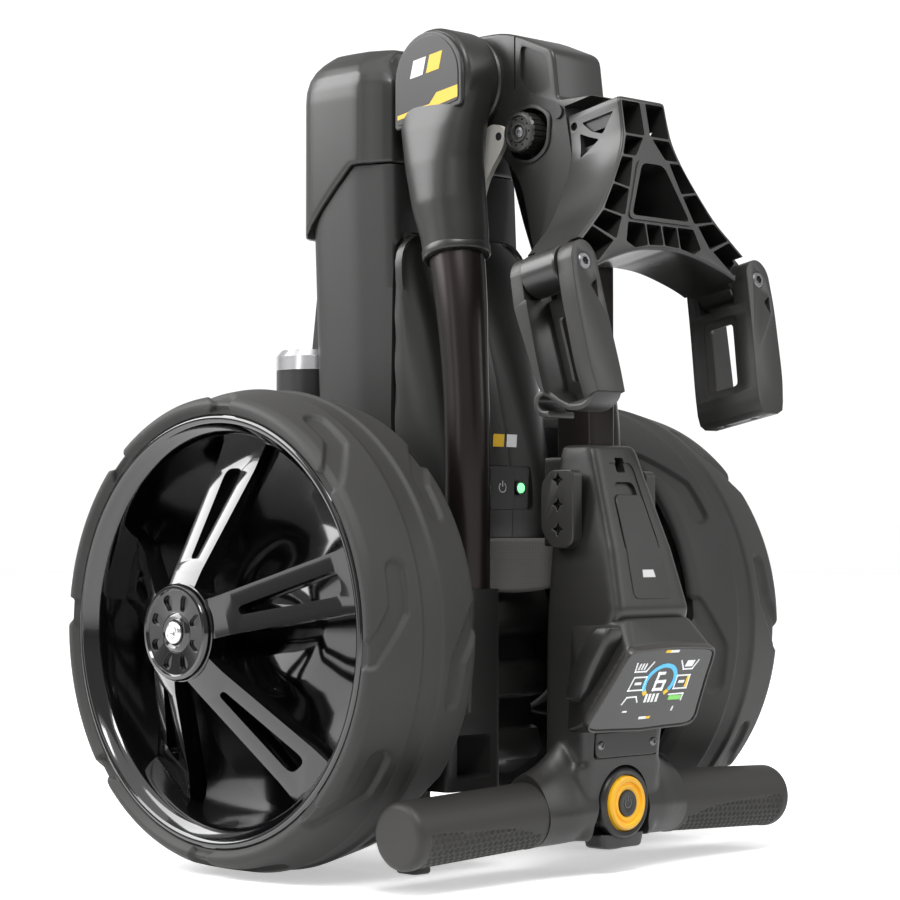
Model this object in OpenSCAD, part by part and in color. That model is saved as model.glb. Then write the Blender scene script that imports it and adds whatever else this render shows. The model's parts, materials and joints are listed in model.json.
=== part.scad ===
// Electric golf trolley, folded and standing on end.
// +Z is up, -Y is the front (display side), X runs along the wheel axle.
// The origin is on the floor, midway between the rear wheels, under the axle.

/* [Rear wheels] */
// Outer radius of a rear tyre
wheel_r = 145; // [130:1:150]
// Distance from the middle to the mid-plane of a rear tyre
wheel_x = 142.5; // [140:0.5:150]
// Half width of a rear tyre
tyre_half = 43.5; // [38:0.5:44]
// Number of split spokes in a rear wheel
spoke_count = 5; // [4:1:6]

/* [Frame] */
// Sideways distance of a side tube at the axle end
tube_x = 60; // [58:1:64]
// Radius of a side tube
tube_r = 14; // [12:0.5:14]
// Height of the fold axis above the floor
hinge_z = 483; // [478:1:488]
// Front-to-back place of the fold axis
hinge_y = -57; // [-60:1:-56]
// Radius of the round elbow heads
head_r = 31.5; // [29:0.5:32]

/* [Handle] */
// Half length of the grip bar
bar_half = 168; // [150:1:175]
// Radius of the grips
grip_r = 19.5; // [18:0.5:20]
// Height of the grip bar in the middle
bar_z = 40; // [39:0.5:42]
// Front-to-back place of the grip bar
bar_y = -141; // [-143:1:-140]

/* [Bag bracket] */
// Forward lean of the bracket in degrees
bracket_lean = 11; // [9:1:12]
// Sideways distance of the bag arm pivots
arm_x = 80; // [79:0.5:82]

/* [Front wheel] */
// Radius of the front wheel
front_r = 85; // [80:1:85]
// Front-to-back place of the folded front wheel
front_y = 135; // [135:1:140]

/* [Hidden] */
$fn = 64;

run = 0.05;              // radial clearance of a running fit
gap = 0.3;               // clearance between pieces that move past each other
axle_r = 6;
rim_edge_r = 129;
barrel_r = 117;
web_hole_r = 62;         // the inner web of a rim is open round the gearbox
hub_face = 208;          // |x| of the hub's outer face
head_in = 27;            // |x| of an elbow head's inner face
head_out = 57;           // |x| of an elbow head's outer face
pin_r = 8;
block_x = 22;            // half width of the hinge block
mast_back = -119;
mast_front = -148;
mast_half = 11;
mast_top = 404;
mast_foot = 66;
bracket_y = -179;
bracket_z = 461;
bracket_deep = 42;
pivot_drop = -105.6;     // arm pivot, down the bracket's own face
pivot_r = 5;
lever_at = [-85.5, 447.5];
front_z = front_r;
front_half = 22;
front_pivot = [74, 462];
motor_at = [-36, 72.5];
motor_r = 24;
tilt_bar = 2.3;          // droop of the grips in degrees
dark = [0.22, 0.22, 0.21];
mid = [0.32, 0.32, 0.31];
black = [0.04, 0.04, 0.045];
rubber = [0.26, 0.26, 0.25];
bronze = [0.2, 0.17, 0.16];
silver = [0.75, 0.75, 0.77];
pale = [0.66, 0.64, 0.61];
yellow = [1, 0.75, 0.1];

// ---------- shared shapes ----------
module both() { children(); mirror([1, 0, 0]) children(); }
module along_x(x0, x1, y, z, r, r2 = -1) {
    translate([x0, y, z]) rotate([0, 90, 0]) cylinder(h = x1 - x0, r1 = r, r2 = r2 < 0 ? r : r2);
}
module along_y(y0, y1, x, z, r) {
    translate([x, y0, z]) rotate([-90, 0, 0]) cylinder(h = y1 - y0, r = r);
}
module box(a, b) { translate(a) cube(b - a); }
// a round bar between two points
module bar(a, b, r1, r2) {
    d = b - a;
    n = norm(d);
    translate(a) rotate([0, acos(d[2] / n), atan2(d[1], d[0])]) cylinder(h = n, r1 = r1, r2 = r2);
}
// an outline in (y, z), extruded along X from x0 to x1
module side_plate(x0, x1) {
    translate([x0, 0, 0]) rotate([90, 0, 90]) linear_extrude(x1 - x0) children();
}
// an outline in (x, z), extruded along Y from y0 back to y1
module front_plate(y0, y1) {
    translate([0, y1, 0]) rotate([90, 0, 0]) linear_extrude(y1 - y0) children();
}
module mirrored_outline(half) {
    polygon(concat(half, [for (i = [len(half) - 1:-1:0]) [-half[i][0], half[i][1]]]));
}
// turns a profile drawn as (radius, offset from the wheel's mid-plane) about the axle
module spin_profile(x, y, z) {
    translate([x, y, z]) rotate([0, 90, 0]) rotate_extrude($fn = 128) children();
}
module bracket_frame() {
    translate([0, bracket_y, bracket_z]) rotate([-bracket_lean, 0, 0]) children();
}

// ---------- axle, gearboxes and motor ----------
module axle_housing() color(dark) difference() {
    union() {
        side_plate(-62, 62) polygon([
            [-46, 58], [-46, 78], [-38, 82], [-38, 97], [-52, 101], [-52, 119], [-46, 123],
            [-46, 136], [-56, 140], [-56, 168], [-44, 186], [38, 186], [44, 170], [44, 80], [30, 58]]);
    }
    along_x(-63, 63, 0, wheel_r, 22);
}
module motor_mount() color(dark) box([-61, 44, 148], [-26, 95, 171]);
module gearbox(s) color(mid) difference() {
    union() {
        along_x(67.2, 78, 0, wheel_r, 50);
        along_x(78, 88, 0, wheel_r, 50, 40);
        along_x(88, 95, 0, wheel_r, 20);
        along_x(40, 67.2, 0, wheel_r, 21.9);
    }
    along_x(39, 96, 0, wheel_r, axle_r + run);
}
module motor_body() color(black) translate([motor_at[0], motor_at[1], 171])
    difference() {
        cylinder(h = 138, r = motor_r);
        for (a = [0:30:330]) rotate([0, 0, a]) translate([motor_r, 0, 20]) cylinder(h = 90, r = 1.2);
    }
module motor_end_cap() color(silver) translate([motor_at[0], motor_at[1], 309]) {
    cylinder(h = 9, r = motor_r + 0.4);
    translate([0, 0, 9]) cylinder(h = 4, r1 = motor_r + 0.4, r2 = motor_r - 3);
}

// ---------- side frame ----------
bead = 0.4;              // the balls at the bends stand this proud of the tubes
tube_path = [
    [[-tube_x, -91, 104], tube_r], [[-tube_x, -91, 262], tube_r],
    [[-55.5, -82.6, 336], 15.2], [[-49.25, -70.1, 386], 17.4]];
module tube_run(i) {
    bar(tube_path[i][0], tube_path[i + 1][0], tube_path[i][1], tube_path[i + 1][1]);
}
module tube_solid() {
    for (i = [0:len(tube_path) - 2]) tube_run(i);
    for (i = [1:len(tube_path) - 2]) translate(tube_path[i][0]) sphere(r = tube_path[i][1] + bead);
}
module side_tube() color(bronze) tube_solid();
module tube_socket() color(dark) difference() {
    union() {
        box([-74, -107, 92], [-46, -74, 170]);
        box([-94, -107, 50], [-46, -64, 94]);
        box([-95, -82, 0], [-80, -64, 58]);
        box([-61.9, -74, 124], [-48, -56, 160]);
    }
    box([-84, -108, 58], [-56, -63, 83]);
    tube_run(0);
}
module elbow() color(mid) difference() {
    intersection() {
        union() {
            along_x(-head_out, -head_in, hinge_y, hinge_z, head_r);
            bar([-50.9, -73.4, 373], [-43.5, -58.5, 466], 20.5, 27.5);
        }
        front_plate(-120, 0) polygon([[-72, 360], [-72, 376], [-head_out, 448], [-head_out, 520],
            [-head_in, 520], [-head_in, 360]]);
    }
    along_x(-60, -20, hinge_y, hinge_z, pin_r);
    tube_run(len(tube_path) - 2);
}
module hinge_badges() color(mid) both() difference() {
    union() {
        along_x(-head_out - 3, -head_out, hinge_y, hinge_z, head_r - 2);
        box([-head_out - 3, hinge_y - 28, hinge_z - 27], [-head_out, hinge_y + 27, hinge_z]);
    }
    box([-head_out - 4, -110, hinge_z - 60], [-head_out + 1, 0, hinge_z - 26]);
}
module hinge_pin() color(silver) along_x(-head_out, head_out, hinge_y, hinge_z, pin_r);

// ---------- battery ----------
lower_half = [[0, 46], [56, 46], [66, 37], [66.5, 3], [61, -17], [58, -30], [0, -30]];
cap_half = [[0, 58], [58, 58], [69, 48], [69.5, 3], [62, -15], [58, -22], [0, -24]];
seam = [[-60, 434], [3, 434], [48, 391], [75, 391]];
cap_side = concat([[75, 484], [58, 484], [48, 497], [20, 510], [10, 505], [6, 484], [-3, 462],
    [-11, 445]], seam);
module lean(deg) { translate([0, 0, 290]) rotate([-deg, 0, 0]) translate([0, 0, -290]) children(); }
module battery_housing() color(dark) difference() {
    intersection() {
        lean(2.6) translate([0, 0, 150]) linear_extrude(320) mirrored_outline(lower_half);
        side_plate(-80, 80) polygon(concat([[75, 186], [-60, 186]], seam));
    }
    box([-50, -60, 196.5], [50, 24, 391.5]);
    box([-58.5, -60, 196.5], [58.5, -24, 391.5]);
}
module housing_cap() color(mid) {
    intersection() {
        translate([0, 0, 380]) linear_extrude(140) mirrored_outline(cap_half);
        side_plate(-80, 80) polygon(cap_side);
    }
    both() front_ears();
}
// ears behind the cap carry the folding front arm
module front_ears() color(dark) difference() {
    union() {
        box([14, 58, front_pivot[1] - 14], [24, front_pivot[0], front_pivot[1] + 14]);
        along_x(14, 24, front_pivot[0], front_pivot[1], 14);
    }
    along_x(0, 40, front_pivot[0], front_pivot[1], 5);
}
crown_half = [[0, -70], [18, -69.5], [34, -67], [46, -60.5], [54, -49], [57.8, -31]];
module battery_pack() color(dark) difference() {
    union() {
        box([-49.6, -31, 197], [49.6, 23.6, 391]);
        intersection() {
            union() {
                translate([0, -3, 197]) linear_extrude(44)
                    mirrored_outline(concat(crown_half, [[57.8, -26]]));
                translate([0, -3, 241]) rotate([-15, 0, 0])
                    linear_extrude(200) mirrored_outline(concat(crown_half, [[57.8, 20]]));
            }
            box([-57.8, -76, 197], [57.8, -24.3, 391]);
        }
    }
    box([-19.7, -76, 217.7], [19.7, -69, 245.3]);
}
module power_button() color(mid) box([-19.4, -72, 218], [2.4, -70.5, 245]);
module power_led() color([0.3, 1, 0.4]) along_y(-72.4, -69, 9, 231.4, 3.2);
module pull_tab() color(pale) box([-39, -75.2, 166], [39, -73, 200]);

// ---------- rear wheel ----------
module spoke(a) rotate([a, 0, 0]) difference() {
    intersection() {
        translate([0, 24, 0]) rotate([90, 0, 0]) linear_extrude(48) polygon([
            [198, 22], [hub_face - 0.4, 22], [hub_face - 0.4, 29], [163, 98], [152, 119],
            [139, 119], [150, 96], [194, 30]]);
        rotate([90, 0, 90]) linear_extrude(240) polygon([[-12, 18], [12, 18], [21, 120], [-21, 120]]);
    }
    rotate([90, 0, 90]) linear_extrude(240) polygon([[-3, 43], [3, 43], [7.5, 99], [-7.5, 99]]);
}
module rim() color(black) difference() {
    union() {
        spin_profile(wheel_x, 0, wheel_r) polygon([
            [barrel_r, -40], [rim_edge_r, -40], [rim_edge_r, -36], [121, -35], [121, 35],
            [rim_edge_r, 36], [rim_edge_r, 40], [122.5, 40], [barrel_r, 34]]);
        translate([0, 0, wheel_r]) {
            along_x(172, hub_face, 0, 0, 29);
            along_x(98, 172, 0, 0, 14);
            difference() {
                along_x(100, 103, 0, 0, barrel_r + 2);
                along_x(99, 104, 0, 0, web_hole_r);
            }
            for (i = [0:spoke_count - 1]) spoke(i * 360 / spoke_count);
        }
    }
    along_x(97, 220, 0, wheel_r, axle_r);
    along_x(204.8, 220, 0, wheel_r, 7 + run);
}
module tyre() color(rubber) difference() {
    spin_profile(wheel_x, 0, wheel_r) polygon([
        [121, -35], [rim_edge_r, -36], [rim_edge_r, -40], [134.4, -tyre_half], [139.4, -38],
        [wheel_r, -8.2], [wheel_r - 2, -6.5], [wheel_r - 2, 6.5], [wheel_r, 8.2],
        [139.4, 38], [134.4, tyre_half], [rim_edge_r, 40], [rim_edge_r, 36], [121, 35]]);
}
module hub_cap() color(black) difference() {
    union() {
        along_x(hub_face, 211, 0, wheel_r, 28.5);
        along_x(211, 213, 0, wheel_r, 28.5, 26);
    }
    for (i = [0:7]) translate([0, 0, wheel_r]) rotate([i * 45, 0, 0]) along_x(209.5, 214, 0, 17, 4.5);
    along_x(207, 220, 0, wheel_r, 7 + run);
}
module axle() color(silver) along_x(66, 201.5, 0, wheel_r, axle_r);
module release_button() color(silver) {
    along_x(206.5, 215, 0, wheel_r, 7);
    along_x(203.8, 206.5, 0, wheel_r, 5.7);
}

// ---------- mast ----------
module hinge_block() color(dark) difference() {
    union() {
        along_x(-head_in + gap, head_in - gap, hinge_y, hinge_z, 30);
        side_plate(-block_x, block_x) polygon([
            [hinge_y, 513], [-88, 513], [-127, 497], [-131, 466], [-160, 466], [-175, 372],
            [-111, 368], [-100, 416], [-84, 437], [hinge_y, 453]]);
    }
    along_x(-40, 40, hinge_y, hinge_z, pin_r + run);
    for (s = [1, -1]) translate([s * (block_x + 10), -108, 446]) {
        rotate([0, -s * 90, 0]) cylinder(h = 15.5, r = 19);
    }
    along_x(-block_x - 1, 0, -106, 447.5, 5 + run);
    box([-mast_half, mast_front, 300], [mast_half, mast_back, mast_top]);
    box([-14, -131, 474], [10, -122, 491]);
    bracket_frame() box([-200, -60, -130], [200, bracket_deep, 8]);
    along_x(-30, -18, lever_at[0], lever_at[1], 2.5);
}
// the bracket's outline in its own leaning plane, z measured down from the top edge
bracket_half = [[0, 2], [21, 2], [22.5, -22], [30, -37], [41, -54], [53, -70], [65, -80],
    [78, -91], [78, -118], [62, -106], [40, -98], [20, -93], [0, -91.5]];
module bracket_pockets() {
    for (s = [1, -1]) scale([s, 1, 1]) {
        for (p = [
            [[4, -2], [18, -2], [19, -20], [4, -20]],
            [[6, -23], [19.6, -23], [24, -35], [15, -35]],
            [[19, -38], [27, -38], [36, -52], [25, -54]],
            [[27, -57], [37.5, -55], [48, -69], [33, -71]],
            [[38, -74], [50, -72], [60, -80], [44, -86]],
            [[48, -89], [62, -83], [72, -91], [62, -101]]])
            polygon(p);
    }
    polygon([[-15, -87], [15, -87], [28, -83], [28, -77], [-28, -77], [-28, -83]]);
}
module bracket_window() {
    polygon([[-11, -39], [11, -39], [27, -72], [-27, -72]]);
}
module bag_bracket() color(dark) difference() {
    bracket_frame() union() {
        difference() {
            front_plate(0, bracket_deep) mirrored_outline(bracket_half);
            front_plate(-1, 33) bracket_pockets();
            front_plate(-1, 60) bracket_window();
        }
        for (s = [1, -1]) along_y(8, 34, s * arm_x, pivot_drop, 13);
    }
    bracket_frame() for (s = [1, -1]) {
        along_y(-20, 60, s * arm_x, pivot_drop, pivot_r);
        for (r = [[-21, 7.7], [34.3, 71]]) along_y(r[0], r[1], s * arm_x, pivot_drop, 16.5);
    }
    box([-mast_half - 3, mast_front - 3, 300], [mast_half + 3, -130, mast_top + 3]);
}
module mast_tube() color(bronze) difference() {
    union() {
        box([-mast_half, mast_front + 3, mast_foot], [mast_half, mast_back - 3, mast_top]);
        box([-mast_half + 3, mast_front, mast_foot], [mast_half - 3, mast_back, mast_top]);
        for (x = [-1, 1], y = [mast_front + 3, mast_back - 3])
            translate([x * (mast_half - 3), y, mast_foot]) cylinder(h = mast_top - mast_foot, r = 3);
    }
    box([-mast_half + 2.5, mast_front + 2.5, mast_foot - 1],
        [mast_half - 2.5, mast_back - 2.5, mast_top + 1]);
}
module bracket_screws() color(black) {
    for (s = [1, -1]) {
        along_x(s > 0 ? block_x : -block_x - 1.6, s > 0 ? block_x + 1.6 : -block_x, -129, 385, 4.2);
        along_x(s > 0 ? block_x : -block_x - 1.6, s > 0 ? block_x + 1.6 : -block_x, -131, 458, 4.2);
    }
}
module arm_pins() color(silver) bracket_frame()
    for (s = [1, -1]) along_y(-5, 44, s * arm_x, pivot_drop, pivot_r);
module lever_pin() color(silver) along_x(-26.4, -18, lever_at[0], lever_at[1], 2.5);
module lock_knob() color(dark) {
    along_x(-31, -17, -106, 447.5, 12.7);
    along_x(-17, -8, -106, 447.5, 5);
}
module release_lever() color(pale) difference() {
    translate([-26.5, 0, 0]) rotate([90, 0, 90]) linear_extrude(4) {
        hull() { translate(lever_at) circle(5.6); translate([-75, 441]) circle(6); }
        hull() { translate([-75, 441]) circle(6); translate([-72, 428]) circle(5); }
        hull() { translate([-72, 428]) circle(5); translate([-75, 413]) circle(2.5); }
    }
    along_x(-40, 0, lever_at[0], lever_at[1], 2.5 + run);
}

// ---------- bag arms ----------
module bag_arm(s) color(dark) difference() {
    bracket_frame() difference() {
        translate([s * arm_x, 0, 0]) union() {
            front_plate(-5, 44) polygon([
                [-11, pivot_drop - 2], [-9, pivot_drop + 9], [0, pivot_drop + 13], [9, pivot_drop + 9],
                [11, pivot_drop - 2], [11 - s * 2, -140], [11 - s * 7, -183], [6 - s * 8, -190],
                [-6 - s * 8, -190], [-11 - s * 7, -183], [-11 - s * 2, -140]]);
        }
        // room for the bracket's barrel between the two ears
        along_y(7.4, 34.6, s * arm_x, pivot_drop, 14);
        box([s * arm_x - 30, 7.4, pivot_drop], [s * arm_x + 30, 34.6, pivot_drop + 30]);
        box([s * (arm_x - 15) - 15, 7.4, pivot_drop - 14], [s * (arm_x - 15) + 15, 34.6, pivot_drop + 10]);
        along_y(-20, 60, s * arm_x, pivot_drop, pivot_r + run);
        // window and the hollow behind the front skin
        box([s * arm_x - 40, 6, -173], [s * arm_x + 40, 34, -130]);
        for (x = [-5, 5]) translate([s * (arm_x - 8) + x, 20 - x, -191]) cylinder(h = 10, r = 2.2);
    }
}

// ---------- handle ----------
// level sections of the handle body: [z, half width, front y, back y]
handle_levels = [[256, 21, -156, -133], [224, 24.7, -166, -133], [194, 29, -179, -133],
    [158, 34, -187, -133]];
module level(l) { box([-l[1], l[2], l[0] - 0.5], [l[1], l[3], l[0]]); }
display_mid = [0, -187.3, 110.6];
display_tilt = 30;       // the display leans towards the front at its top
module display_frame() {
    translate(display_mid) rotate([display_tilt, 0, 0]) children();
}
module handle_body() color(dark) difference() {
    union() {
        for (i = [0:2]) hull() { level(handle_levels[i]); level(handle_levels[i + 1]); }
        hull() { level([158, 34, -187, -133]); level([134, 38, -187, -133]); level([90, 40, -165, -133]); }
        hull() {
            level([156, 33, -189, -150]);
            level([86, 37, -166, -150]);
            display_frame() box([-47, 4.2, -26], [47, 7, -20]);
            display_frame() box([-39, 4.2, 20], [39, 7, 28]);
        }
        hull() { level([90, 40, -163, -133]); level([62.3, 33, -163, -130]); }
        box([-17, -150, 195], [17, -113.5, 250]);
        cheek_struts();
    }
    lever_rod();
    box([-mast_half - gap, mast_front - gap, 40], [mast_half + gap, mast_back + gap, 300]);
    display_frame() box([-80, -30, -29], [80, 4, 60]);
    box([-28.3, -180, 69.7], [28.3, -161, 85.3]);
    along_y(-170, -157, 0, 42, 21.4);
    hull() { translate([0, -166, 240]) cube([30.6, 10.8, 0.6], center = true);
        translate([0, -192, 158.5]) cube([40.6, 10.8, 0.6], center = true); }
}
module handle_cover() color(mid) intersection() {
    hull() { translate([0, -166, 239]) cube([30, 9.6, 0.6], center = true);
        translate([0, -192, 159.5]) cube([40, 9.6, 0.6], center = true); }
    union() for (i = [0:2]) hull() { level(handle_levels[i]); level(handle_levels[i + 1]); }
}
module display_outline(grow) {
    hull() {
        for (x = [1, -1]) {
            translate([x * (43 + grow), -21]) circle(5, $fn = 32);
            translate([x * (35 + grow), 24]) circle(5, $fn = 32);
        }
        translate([0, -27 - grow]) circle(1, $fn = 32);
    }
}
module display_bezel() color(dark) display_frame() difference() {
    rotate([90, 0, 0]) translate([0, 0, -3.8]) linear_extrude(7.8) display_outline(2);
    rotate([90, 0, 0]) translate([0, 0, 1]) linear_extrude(6) display_outline(-0.9);
}
module display_glass() color(black) display_frame()
    rotate([90, 0, 0]) translate([0, 0, 1]) linear_extrude(2.6) display_outline(-1);
module screw_plate() color(mid) difference() {
    box([-28, -166, 70], [28, -161.1, 85]);
    for (x = [-23.7, 23.7]) along_y(-167, -160, x, 77.5, 2.6);
}
module handle_screws() color(silver) for (x = [-23.7, 23.7]) along_y(-167, -161.1, x, 77.5, 2.55);
module side_cheeks() color(mid) both() difference() {
    side_plate(-38, -35) polygon([[-157, 241], [-138, 241], [-131, 232], [-131, 204], [-140, 194],
        [-157, 194]]);
    for (z = [235, 220.3, 205.5]) along_x(-40, -34, -144.5, z, 3);
}
module cheek_struts() both() for (z = [200, 232]) along_x(-35, -21, -144.5, z, 3.5);
module grip_bar() color(dark) difference() {
    union() {
        both() translate([0, bar_y, bar_z]) rotate([0, 90 + tilt_bar, 180])
            cylinder(h = 150, r = 14);
        both() translate([0, bar_y, bar_z]) rotate([0, 90 + tilt_bar, 180]) cylinder(h = 62, r = 18.6);
        box([-33, -163, 20], [33, -125, 61.8]);
    }
    along_y(-170, -158, 0, 42, 21.2);
    along_y(-170, -156, 0, 42, 5 + run);
}
module grip(s) color(rubber) scale([s, 1, 1]) translate([0, bar_y, bar_z])
    rotate([0, 90 + tilt_bar, 180]) difference() {
        union() {
            translate([0, 0, 62.2]) cylinder(h = bar_half - 66.2, r = grip_r);
            translate([0, 0, bar_half - 4]) cylinder(h = 4, r1 = grip_r, r2 = grip_r - 3);
        }
        translate([0, 0, 61]) cylinder(h = 89, r = 14);
    }
module dial_mount() color(black) difference() {
    along_y(-165.5, -158.1, 0, 42, 21.2);
    along_y(-167, -160.5, 0, 42, 16.4 + gap);
    along_y(-161, -157, 0, 42, 5 + run);
}
module dial_ring() color(yellow) difference() {
    union() {
        along_y(-167.5, -160.7, 0, 42, 16.4);
        along_y(-160.7, -156.5, 0, 42, 5);
    }
    along_y(-169, -162.5, 0, 42, 8 + run);
}
module dial_button() color(dark) along_y(-168, -164.2, 0, 42, 8);
module lever_rod() { bar([-47, -166, 108], [-44, -189, 146], 7.5, 7.5); }
module clamp_lever() color(mid) lever_rod();

// ---------- folding front wheel ----------
module front_arm() color(dark) difference() {
    union() {
        along_x(-13.7, 13.7, front_pivot[0], front_pivot[1], 12);
        side_plate(-10, 10) polygon([[66, 462], [84, 462], [118, 212], [98, 205]]);
        box([-36, 98, 190], [36, 118, 212]);
        both() side_plate(26, 34) polygon([[99, 206], [118, 206], [front_y + 10, front_z],
            [front_y + 5, front_z - 10], [front_y - 5, front_z - 10], [front_y - 10, front_z]]);
    }
    along_x(-20, 20, front_pivot[0], front_pivot[1], 5 + run);
    along_x(-40, 40, front_y, front_z, 4);
}
module front_pivot_pin() color(silver) along_x(-24.5, 24.5, front_pivot[0], front_pivot[1], 5);
module front_axle() color(silver) along_x(-37, 37, front_y, front_z, 4);
module front_rim() color(black) difference() {
    union() {
        spin_profile(0, front_y, front_z) polygon([[58, -18], [68, -18], [66, -14], [66, 14],
            [68, 18], [58, 18], [61, 12], [61, -12]]);
        along_x(-24, 24, front_y, front_z, 13);
        translate([0, front_y, front_z]) for (i = [0:4]) rotate([i * 72 + 12, 0, 0])
            box([-8, -7, 10], [8, 7, 61.5]);
    }
    along_x(-30, 30, front_y, front_z, 4 + run);
}
module front_tyre() color(rubber) spin_profile(0, front_y, front_z) polygon([
    [66, -14], [68, -18], [72, -21], [78, -front_half], [82, -19], [front_r, -9], [front_r, 9],
    [82, 19], [78, front_half], [72, 21], [68, 18], [66, 14]]);

// ---------- the assembly ----------
module right() mirror([1, 0, 0]) children();
axle_housing();
motor_mount();
right() gearbox();  // gearbox_left
gearbox();  // gearbox_right
motor_body();
motor_end_cap();
tube_socket();  // tube_socket_left
right() tube_socket();  // tube_socket_right
side_tube();  // side_tube_left
right() side_tube();  // side_tube_right
elbow();  // elbow_left
right() elbow();  // elbow_right
hinge_badges();
hinge_pin();
battery_housing();
housing_cap();
battery_pack();
power_button();
power_led();
pull_tab();
right() rim();  // rim_left
right() tyre();  // tyre_left
right() hub_cap();  // hub_cap_left
right() axle();  // axle_left
right() release_button();  // release_button_left
rim();  // rim_right
tyre();  // tyre_right
hub_cap();  // hub_cap_right
axle();  // axle_right
release_button();  // release_button_right
hinge_block();
bag_bracket();
mast_tube();
bracket_screws();
arm_pins();
lever_pin();
lock_knob();
release_lever();
bag_arm(-1);  // bag_arm_left
bag_arm(1);  // bag_arm_right
handle_body();
handle_cover();
display_bezel();
display_glass();
screw_plate();
handle_screws();
side_cheeks();
grip_bar();
grip(1);  // grip_left
grip(-1);  // grip_right
dial_mount();
dial_ring();
dial_button();
clamp_lever();
front_arm();
front_pivot_pin();
front_axle();
front_rim();
front_tyre();
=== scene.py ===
import json
import math
import bmesh
import bpy
import numpy as np
from mathutils import Matrix, Vector


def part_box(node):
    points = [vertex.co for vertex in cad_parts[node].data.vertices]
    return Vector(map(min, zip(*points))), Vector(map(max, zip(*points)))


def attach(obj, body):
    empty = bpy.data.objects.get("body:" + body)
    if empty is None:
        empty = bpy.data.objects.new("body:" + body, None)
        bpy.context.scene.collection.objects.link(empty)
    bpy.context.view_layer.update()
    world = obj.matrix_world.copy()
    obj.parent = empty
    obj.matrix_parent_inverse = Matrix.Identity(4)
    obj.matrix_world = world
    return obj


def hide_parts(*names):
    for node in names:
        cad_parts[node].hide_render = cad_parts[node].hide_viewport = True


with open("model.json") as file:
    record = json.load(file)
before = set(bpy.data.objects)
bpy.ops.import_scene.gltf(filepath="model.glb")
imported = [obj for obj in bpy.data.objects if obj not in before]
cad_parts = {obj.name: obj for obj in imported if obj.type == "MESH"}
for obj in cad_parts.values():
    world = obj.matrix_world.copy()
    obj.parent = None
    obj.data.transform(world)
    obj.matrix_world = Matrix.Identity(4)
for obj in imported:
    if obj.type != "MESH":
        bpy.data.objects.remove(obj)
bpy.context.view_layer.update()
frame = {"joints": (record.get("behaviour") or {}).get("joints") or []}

MM = 0.001
TAU = 2 * math.pi
WELD_DISTANCE = 0.02 * MM
BOTH_ON_CHASSIS = ("chassis", "chassis")


# ---------- places taken from the frame, in millimetres ----------
def box_mm(node):
    low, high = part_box(node)
    return np.array(low) / MM, np.array(high) / MM


def joint(name):
    return next(j for j in frame["joints"] if j["name"] == name)


TYRE_LOW, TYRE_HIGH = box_mm("tyre_right")
WHEEL_X = (TYRE_LOW[0] + TYRE_HIGH[0]) / 2
WHEEL_R = (TYRE_HIGH[2] - TYRE_LOW[2]) / 2
TYRE_HALF = (TYRE_HIGH[0] - TYRE_LOW[0]) / 2
AXLE = (0, 0, WHEEL_R)
HUB_FACE = box_mm("hub_cap_right")[0][0]
HINGE = np.array(joint("mast_fold")["pos_m"]) / MM
KNOB = np.array(joint("knob_turn")["pos_m"]) / MM
DIAL = np.array(joint("dial_turn")["pos_m"]) / MM
PACK_HALF = box_mm("battery_pack")[1][0]
HOUSING_FLOOR = box_mm("battery_housing")[0][2]
CAP_TOP = box_mm("housing_cap")[1][2]
MAST_LOW, MAST_HIGH = box_mm("mast_tube")
GRIP_LOW, GRIP_HIGH = box_mm("grip_right")
BAR_DROOP = math.radians(2.3)
BAR_Y = (GRIP_LOW[1] + GRIP_HIGH[1]) / 2
BAR_Z = 40.0
GRIP_R = (GRIP_HIGH[1] - GRIP_LOW[1]) / 2
GRIP_END = GRIP_HIGH[0]
GRIP_START = 62.4


# ---------- mesh helpers; every length is in millimetres ----------
def link(name, mesh):
    obj = bpy.data.objects.new(name, mesh)
    bpy.context.scene.collection.objects.link(obj)
    return obj


def mesh_object(name, verts, faces, smooth=True):
    mesh = bpy.data.meshes.new(name)
    mesh.from_pydata((np.asarray(verts, float) * MM).tolist(), [], faces)
    mesh.validate()
    bm = bmesh.new()
    bm.from_mesh(mesh)
    bmesh.ops.recalc_face_normals(bm, faces=bm.faces)
    bm.to_mesh(mesh)
    bm.free()
    mesh.polygons.foreach_set("use_smooth", [smooth] * len(mesh.polygons))
    return link(name, mesh)


def grid_faces(rows, cols, wrap_rows=False, wrap_cols=True):
    """Quads over a rows x cols grid of points, numbered row by row."""
    faces = []
    for i in range(rows if wrap_rows else rows - 1):
        for j in range(cols if wrap_cols else cols - 1):
            a, b = i * cols + j, i * cols + (j + 1) % cols
            n = (i + 1) % rows * cols
            faces.append((a, b, n + (j + 1) % cols, n + j))
    return faces


def loft(name, rings, closed=False, smooth=True):
    """A skin over rings of equally many points, with flat ends unless closed into a loop."""
    rings = np.asarray(rings, float)
    rows, cols = rings.shape[:2]
    faces = grid_faces(rows, cols, wrap_rows=closed)
    if not closed:
        faces.append(tuple(range(cols)))
        faces.append(tuple((rows - 1) * cols + j for j in range(cols)))
    return mesh_object(name, rings.reshape(-1, 3), faces, smooth)


def lathe(name, profile, centre, axis="x", count=128, closed=True):
    """Turns a profile of (radius, offset along the axis) about the axis."""
    rings = []
    for k in range(count):
        t = TAU * k / count
        c, s = math.cos(t), math.sin(t)
        spun = {"x": [(a, r * c, r * s) for r, a in profile],
                "y": [(r * c, a, r * s) for r, a in profile],
                "z": [(r * c, r * s, a) for r, a in profile]}[axis]
        rings.append(np.array(spun) + centre)
    rings = np.array(rings)
    rows, cols = rings.shape[:2]
    faces = grid_faces(rows, cols, wrap_rows=True, wrap_cols=closed)
    obj = mesh_object(name, rings.reshape(-1, 3), faces)
    weld(obj)
    return obj


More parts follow.
